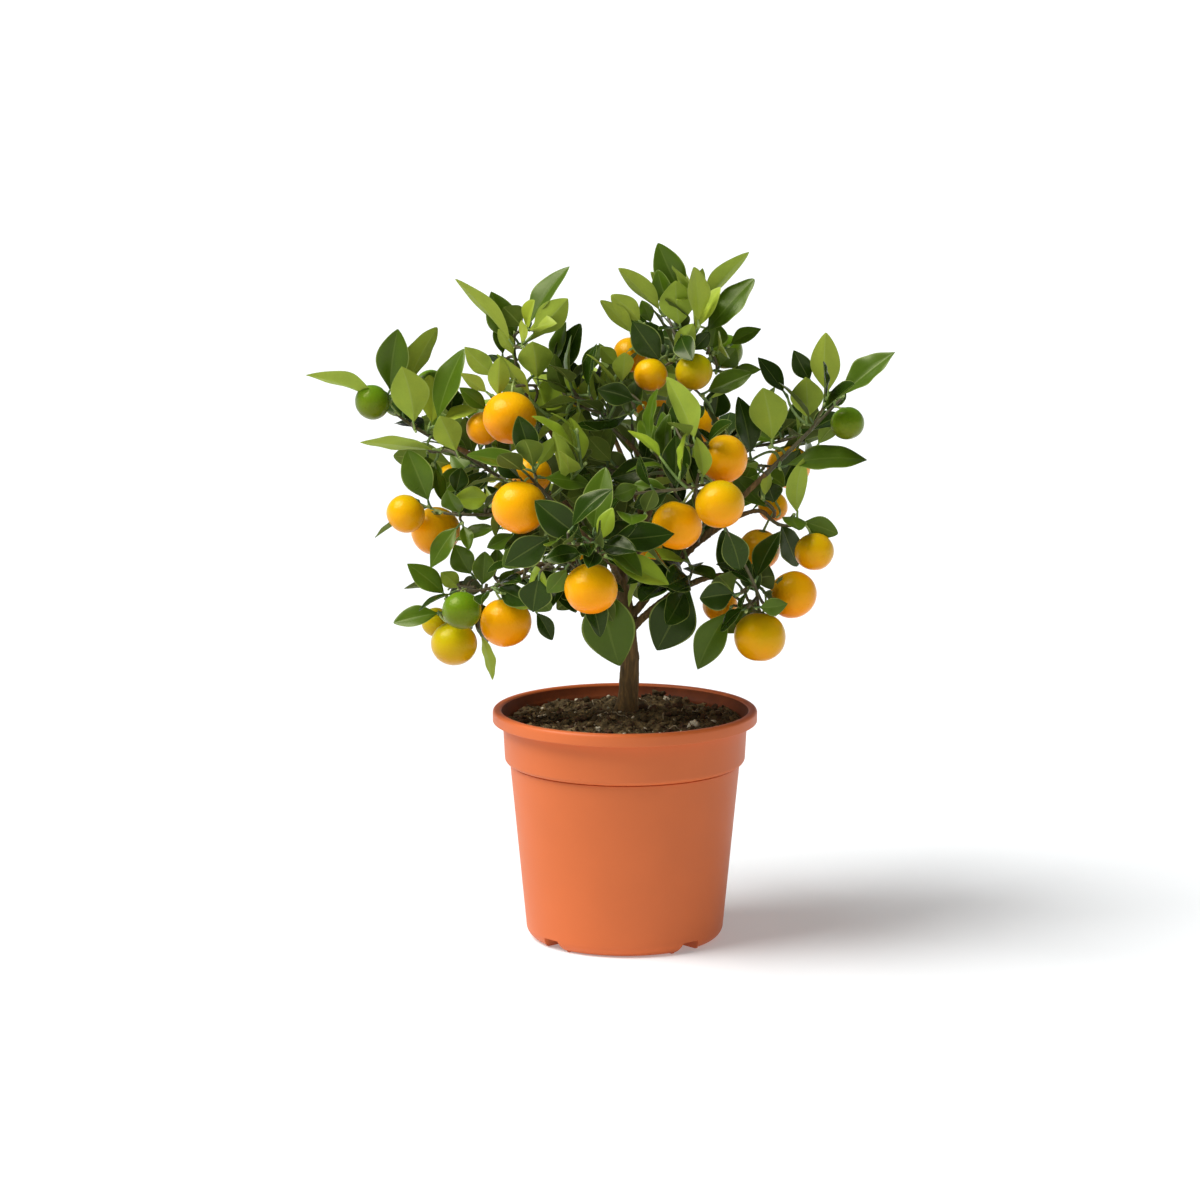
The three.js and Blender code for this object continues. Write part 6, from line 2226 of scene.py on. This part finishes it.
class TreeLeafSettings(bpy.types.PropertyGroup):
    dark: colour_setting("Mature leaves", "Upper face of the oldest leaves", (0.018, 0.045, 0.003))
    mid: colour_setting("Middle leaves", "Upper face of leaves of middle age", (0.062, 0.124, 0.006))
    fresh: colour_setting("Fresh leaves", "Upper face of leaves of this season", (0.262, 0.390, 0.027))
    young: colour_setting("Young leaves", "Upper face of the youngest leaves", (0.305, 0.415, 0.033))


class TreeFruitSettings(bpy.types.PropertyGroup):
    ripe: colour_setting("Ripe peel", "Peel of the ripe fruit", (0.88, 0.345, 0.001))
    yellow: colour_setting("Yellow peel", "Peel of the fruit that is nearly ripe", (0.64, 0.42, 0.001))
    turning: colour_setting("Turning peel", "Peel of the fruit that starts to turn", (0.50, 0.42, 0.002))
    green: colour_setting("Green peel", "Peel of the unripe fruit", (0.098, 0.185, 0.005))


class TreeStageSettings(bpy.types.PropertyGroup):
    sky: number_setting(FloatProperty, "Sky light", "Strength of the even light from above", 0.16, 0, 2)
    key: number_setting(FloatProperty, "Key light", "Strength of the soft key light", 3.9, 0, 20)
    azimuth: angle_setting("Key azimuth", "Turn of the key light from the front", -75)
    elevation: angle_setting("Key elevation", "Height of the key light", 55)
    softness: angle_setting("Key softness", "Width of the key light as seen from the tree", 40)
    lift: number_setting(FloatProperty, "Floor lift", "Light that the floor gives off itself", 0.24, 0, 2)


SETTINGS = {
    "tree_pot": TreePotSettings, "tree_soil": TreeSoilSettings, "tree_wood": TreeWoodSettings,
    "tree_leaf": TreeLeafSettings, "tree_fruit": TreeFruitSettings, "tree_stage": TreeStageSettings,
}


# Operators and panel.


class TREE_OT_pot(bpy.types.Operator):
    """Turn the pot with its lip, collar and drain channels"""

    bl_idname = "tree.pot"
    bl_label = "Pot"

    def execute(self, context):
        settings = context.scene.tree_pot
        make_pot(tuple(settings.colour), settings.sides)
        return {"FINISHED"}


class TREE_OT_soil(bpy.types.Operator):
    """Fill the pot with soil, crumbs, perlite and root fibres"""

    bl_idname = "tree.soil"
    bl_label = "Soil"

    def execute(self, context):
        settings = context.scene.tree_soil
        colour = tuple(settings.colour)
        make_soil_bed(colour)
        make_soil_crumbs(colour, settings.crumbs)
        make_perlite(settings.stones)
        make_fibres(settings.fibres)
        return {"FINISHED"}


class TREE_OT_wood(bpy.types.Operator):
    """Skin the trunk and the boughs with bark"""

    bl_idname = "tree.wood"
    bl_label = "Trunk and boughs"

    def execute(self, context):
        settings = context.scene.tree_wood
        make_wood(plant()["limbs"], tuple(settings.colour), settings.voxel)
        return {"FINISHED"}


class TREE_OT_twigs(bpy.types.Operator):
    """Add the twigs, the leaf stalks and the buds"""

    bl_idname = "tree.twigs"
    bl_label = "Twigs and buds"

    def execute(self, context):
        settings = context.scene.tree_wood
        growths = plant()["growths"]
        make_twigs(growths, tuple(settings.old_twig), tuple(settings.young_twig))
        make_petioles(growths)
        make_buds(growths)
        return {"FINISHED"}


class TREE_OT_leaves(bpy.types.Operator):
    """Add the leaves, one piece for each tone of green"""

    bl_idname = "tree.leaves"
    bl_label = "Leaves"

    def execute(self, context):
        for tone in TONES:
            make_leaves(plant()["growths"], tone, tuple(getattr(context.scene.tree_leaf, tone)))
        return {"FINISHED"}


class TREE_OT_fruit(bpy.types.Operator):
    """Hang the fruit on its stalks"""

    bl_idname = "tree.fruit"
    bl_label = "Fruit"

    def execute(self, context):
        settings = context.scene.tree_fruit
        peels = (settings.ripe, settings.yellow, settings.turning, settings.green)
        make_fruits(plant()["growths"], [tuple(colour) for colour in peels])
        make_stalks(plant()["growths"])
        return {"FINISHED"}


class TREE_OT_stage(bpy.types.Operator):
    """Set the floor, the lights and the camera"""

    bl_idname = "tree.stage"
    bl_label = "Stage"

    def execute(self, context):
        settings = context.scene.tree_stage
        make_camera()
        make_floor(settings.lift)
        make_world(settings.sky)
        make_lamp(settings.key, settings.azimuth, settings.elevation, settings.softness)
        context.scene.view_settings.view_transform = "Standard"
        context.scene.cycles.use_denoising = True
        return {"FINISHED"}


OPERATORS = (
    TREE_OT_stage, TREE_OT_pot, TREE_OT_soil, TREE_OT_wood, TREE_OT_twigs, TREE_OT_leaves, TREE_OT_fruit,
)


class TREE_PT_panel(bpy.types.Panel):
    """Lists the tree's pieces and their settings"""

    bl_idname = "TREE_PT_panel"
    bl_label = "Potted calamondin"
    bl_space_type = "VIEW_3D"
    bl_region_type = "UI"
    bl_category = "Tree"

    def draw(self, context):
        for operator in OPERATORS:
            self.layout.operator(operator.bl_idname)
        for name, group in SETTINGS.items():
            box = self.layout.box()
            for setting in group.__annotations__:
                box.prop(getattr(context.scene, name), setting)


CLASSES = (*SETTINGS.values(), *OPERATORS, TREE_PT_panel)


def register():
    for entry in CLASSES:
        bpy.utils.register_class(entry)
    for name, group in SETTINGS.items():
        setattr(bpy.types.Scene, name, PointerProperty(type=group))


def unregister():
    for name in SETTINGS:
        delattr(bpy.types.Scene, name)
    for entry in reversed(CLASSES):
        bpy.utils.unregister_class(entry)


def main():
    register()
    bpy.ops.tree.stage()
    bpy.ops.tree.pot()
    bpy.ops.tree.soil()
    bpy.ops.tree.wood()
    bpy.ops.tree.twigs()
    bpy.ops.tree.leaves()
    bpy.ops.tree.fruit()


if __name__ == "__main__":
    main()
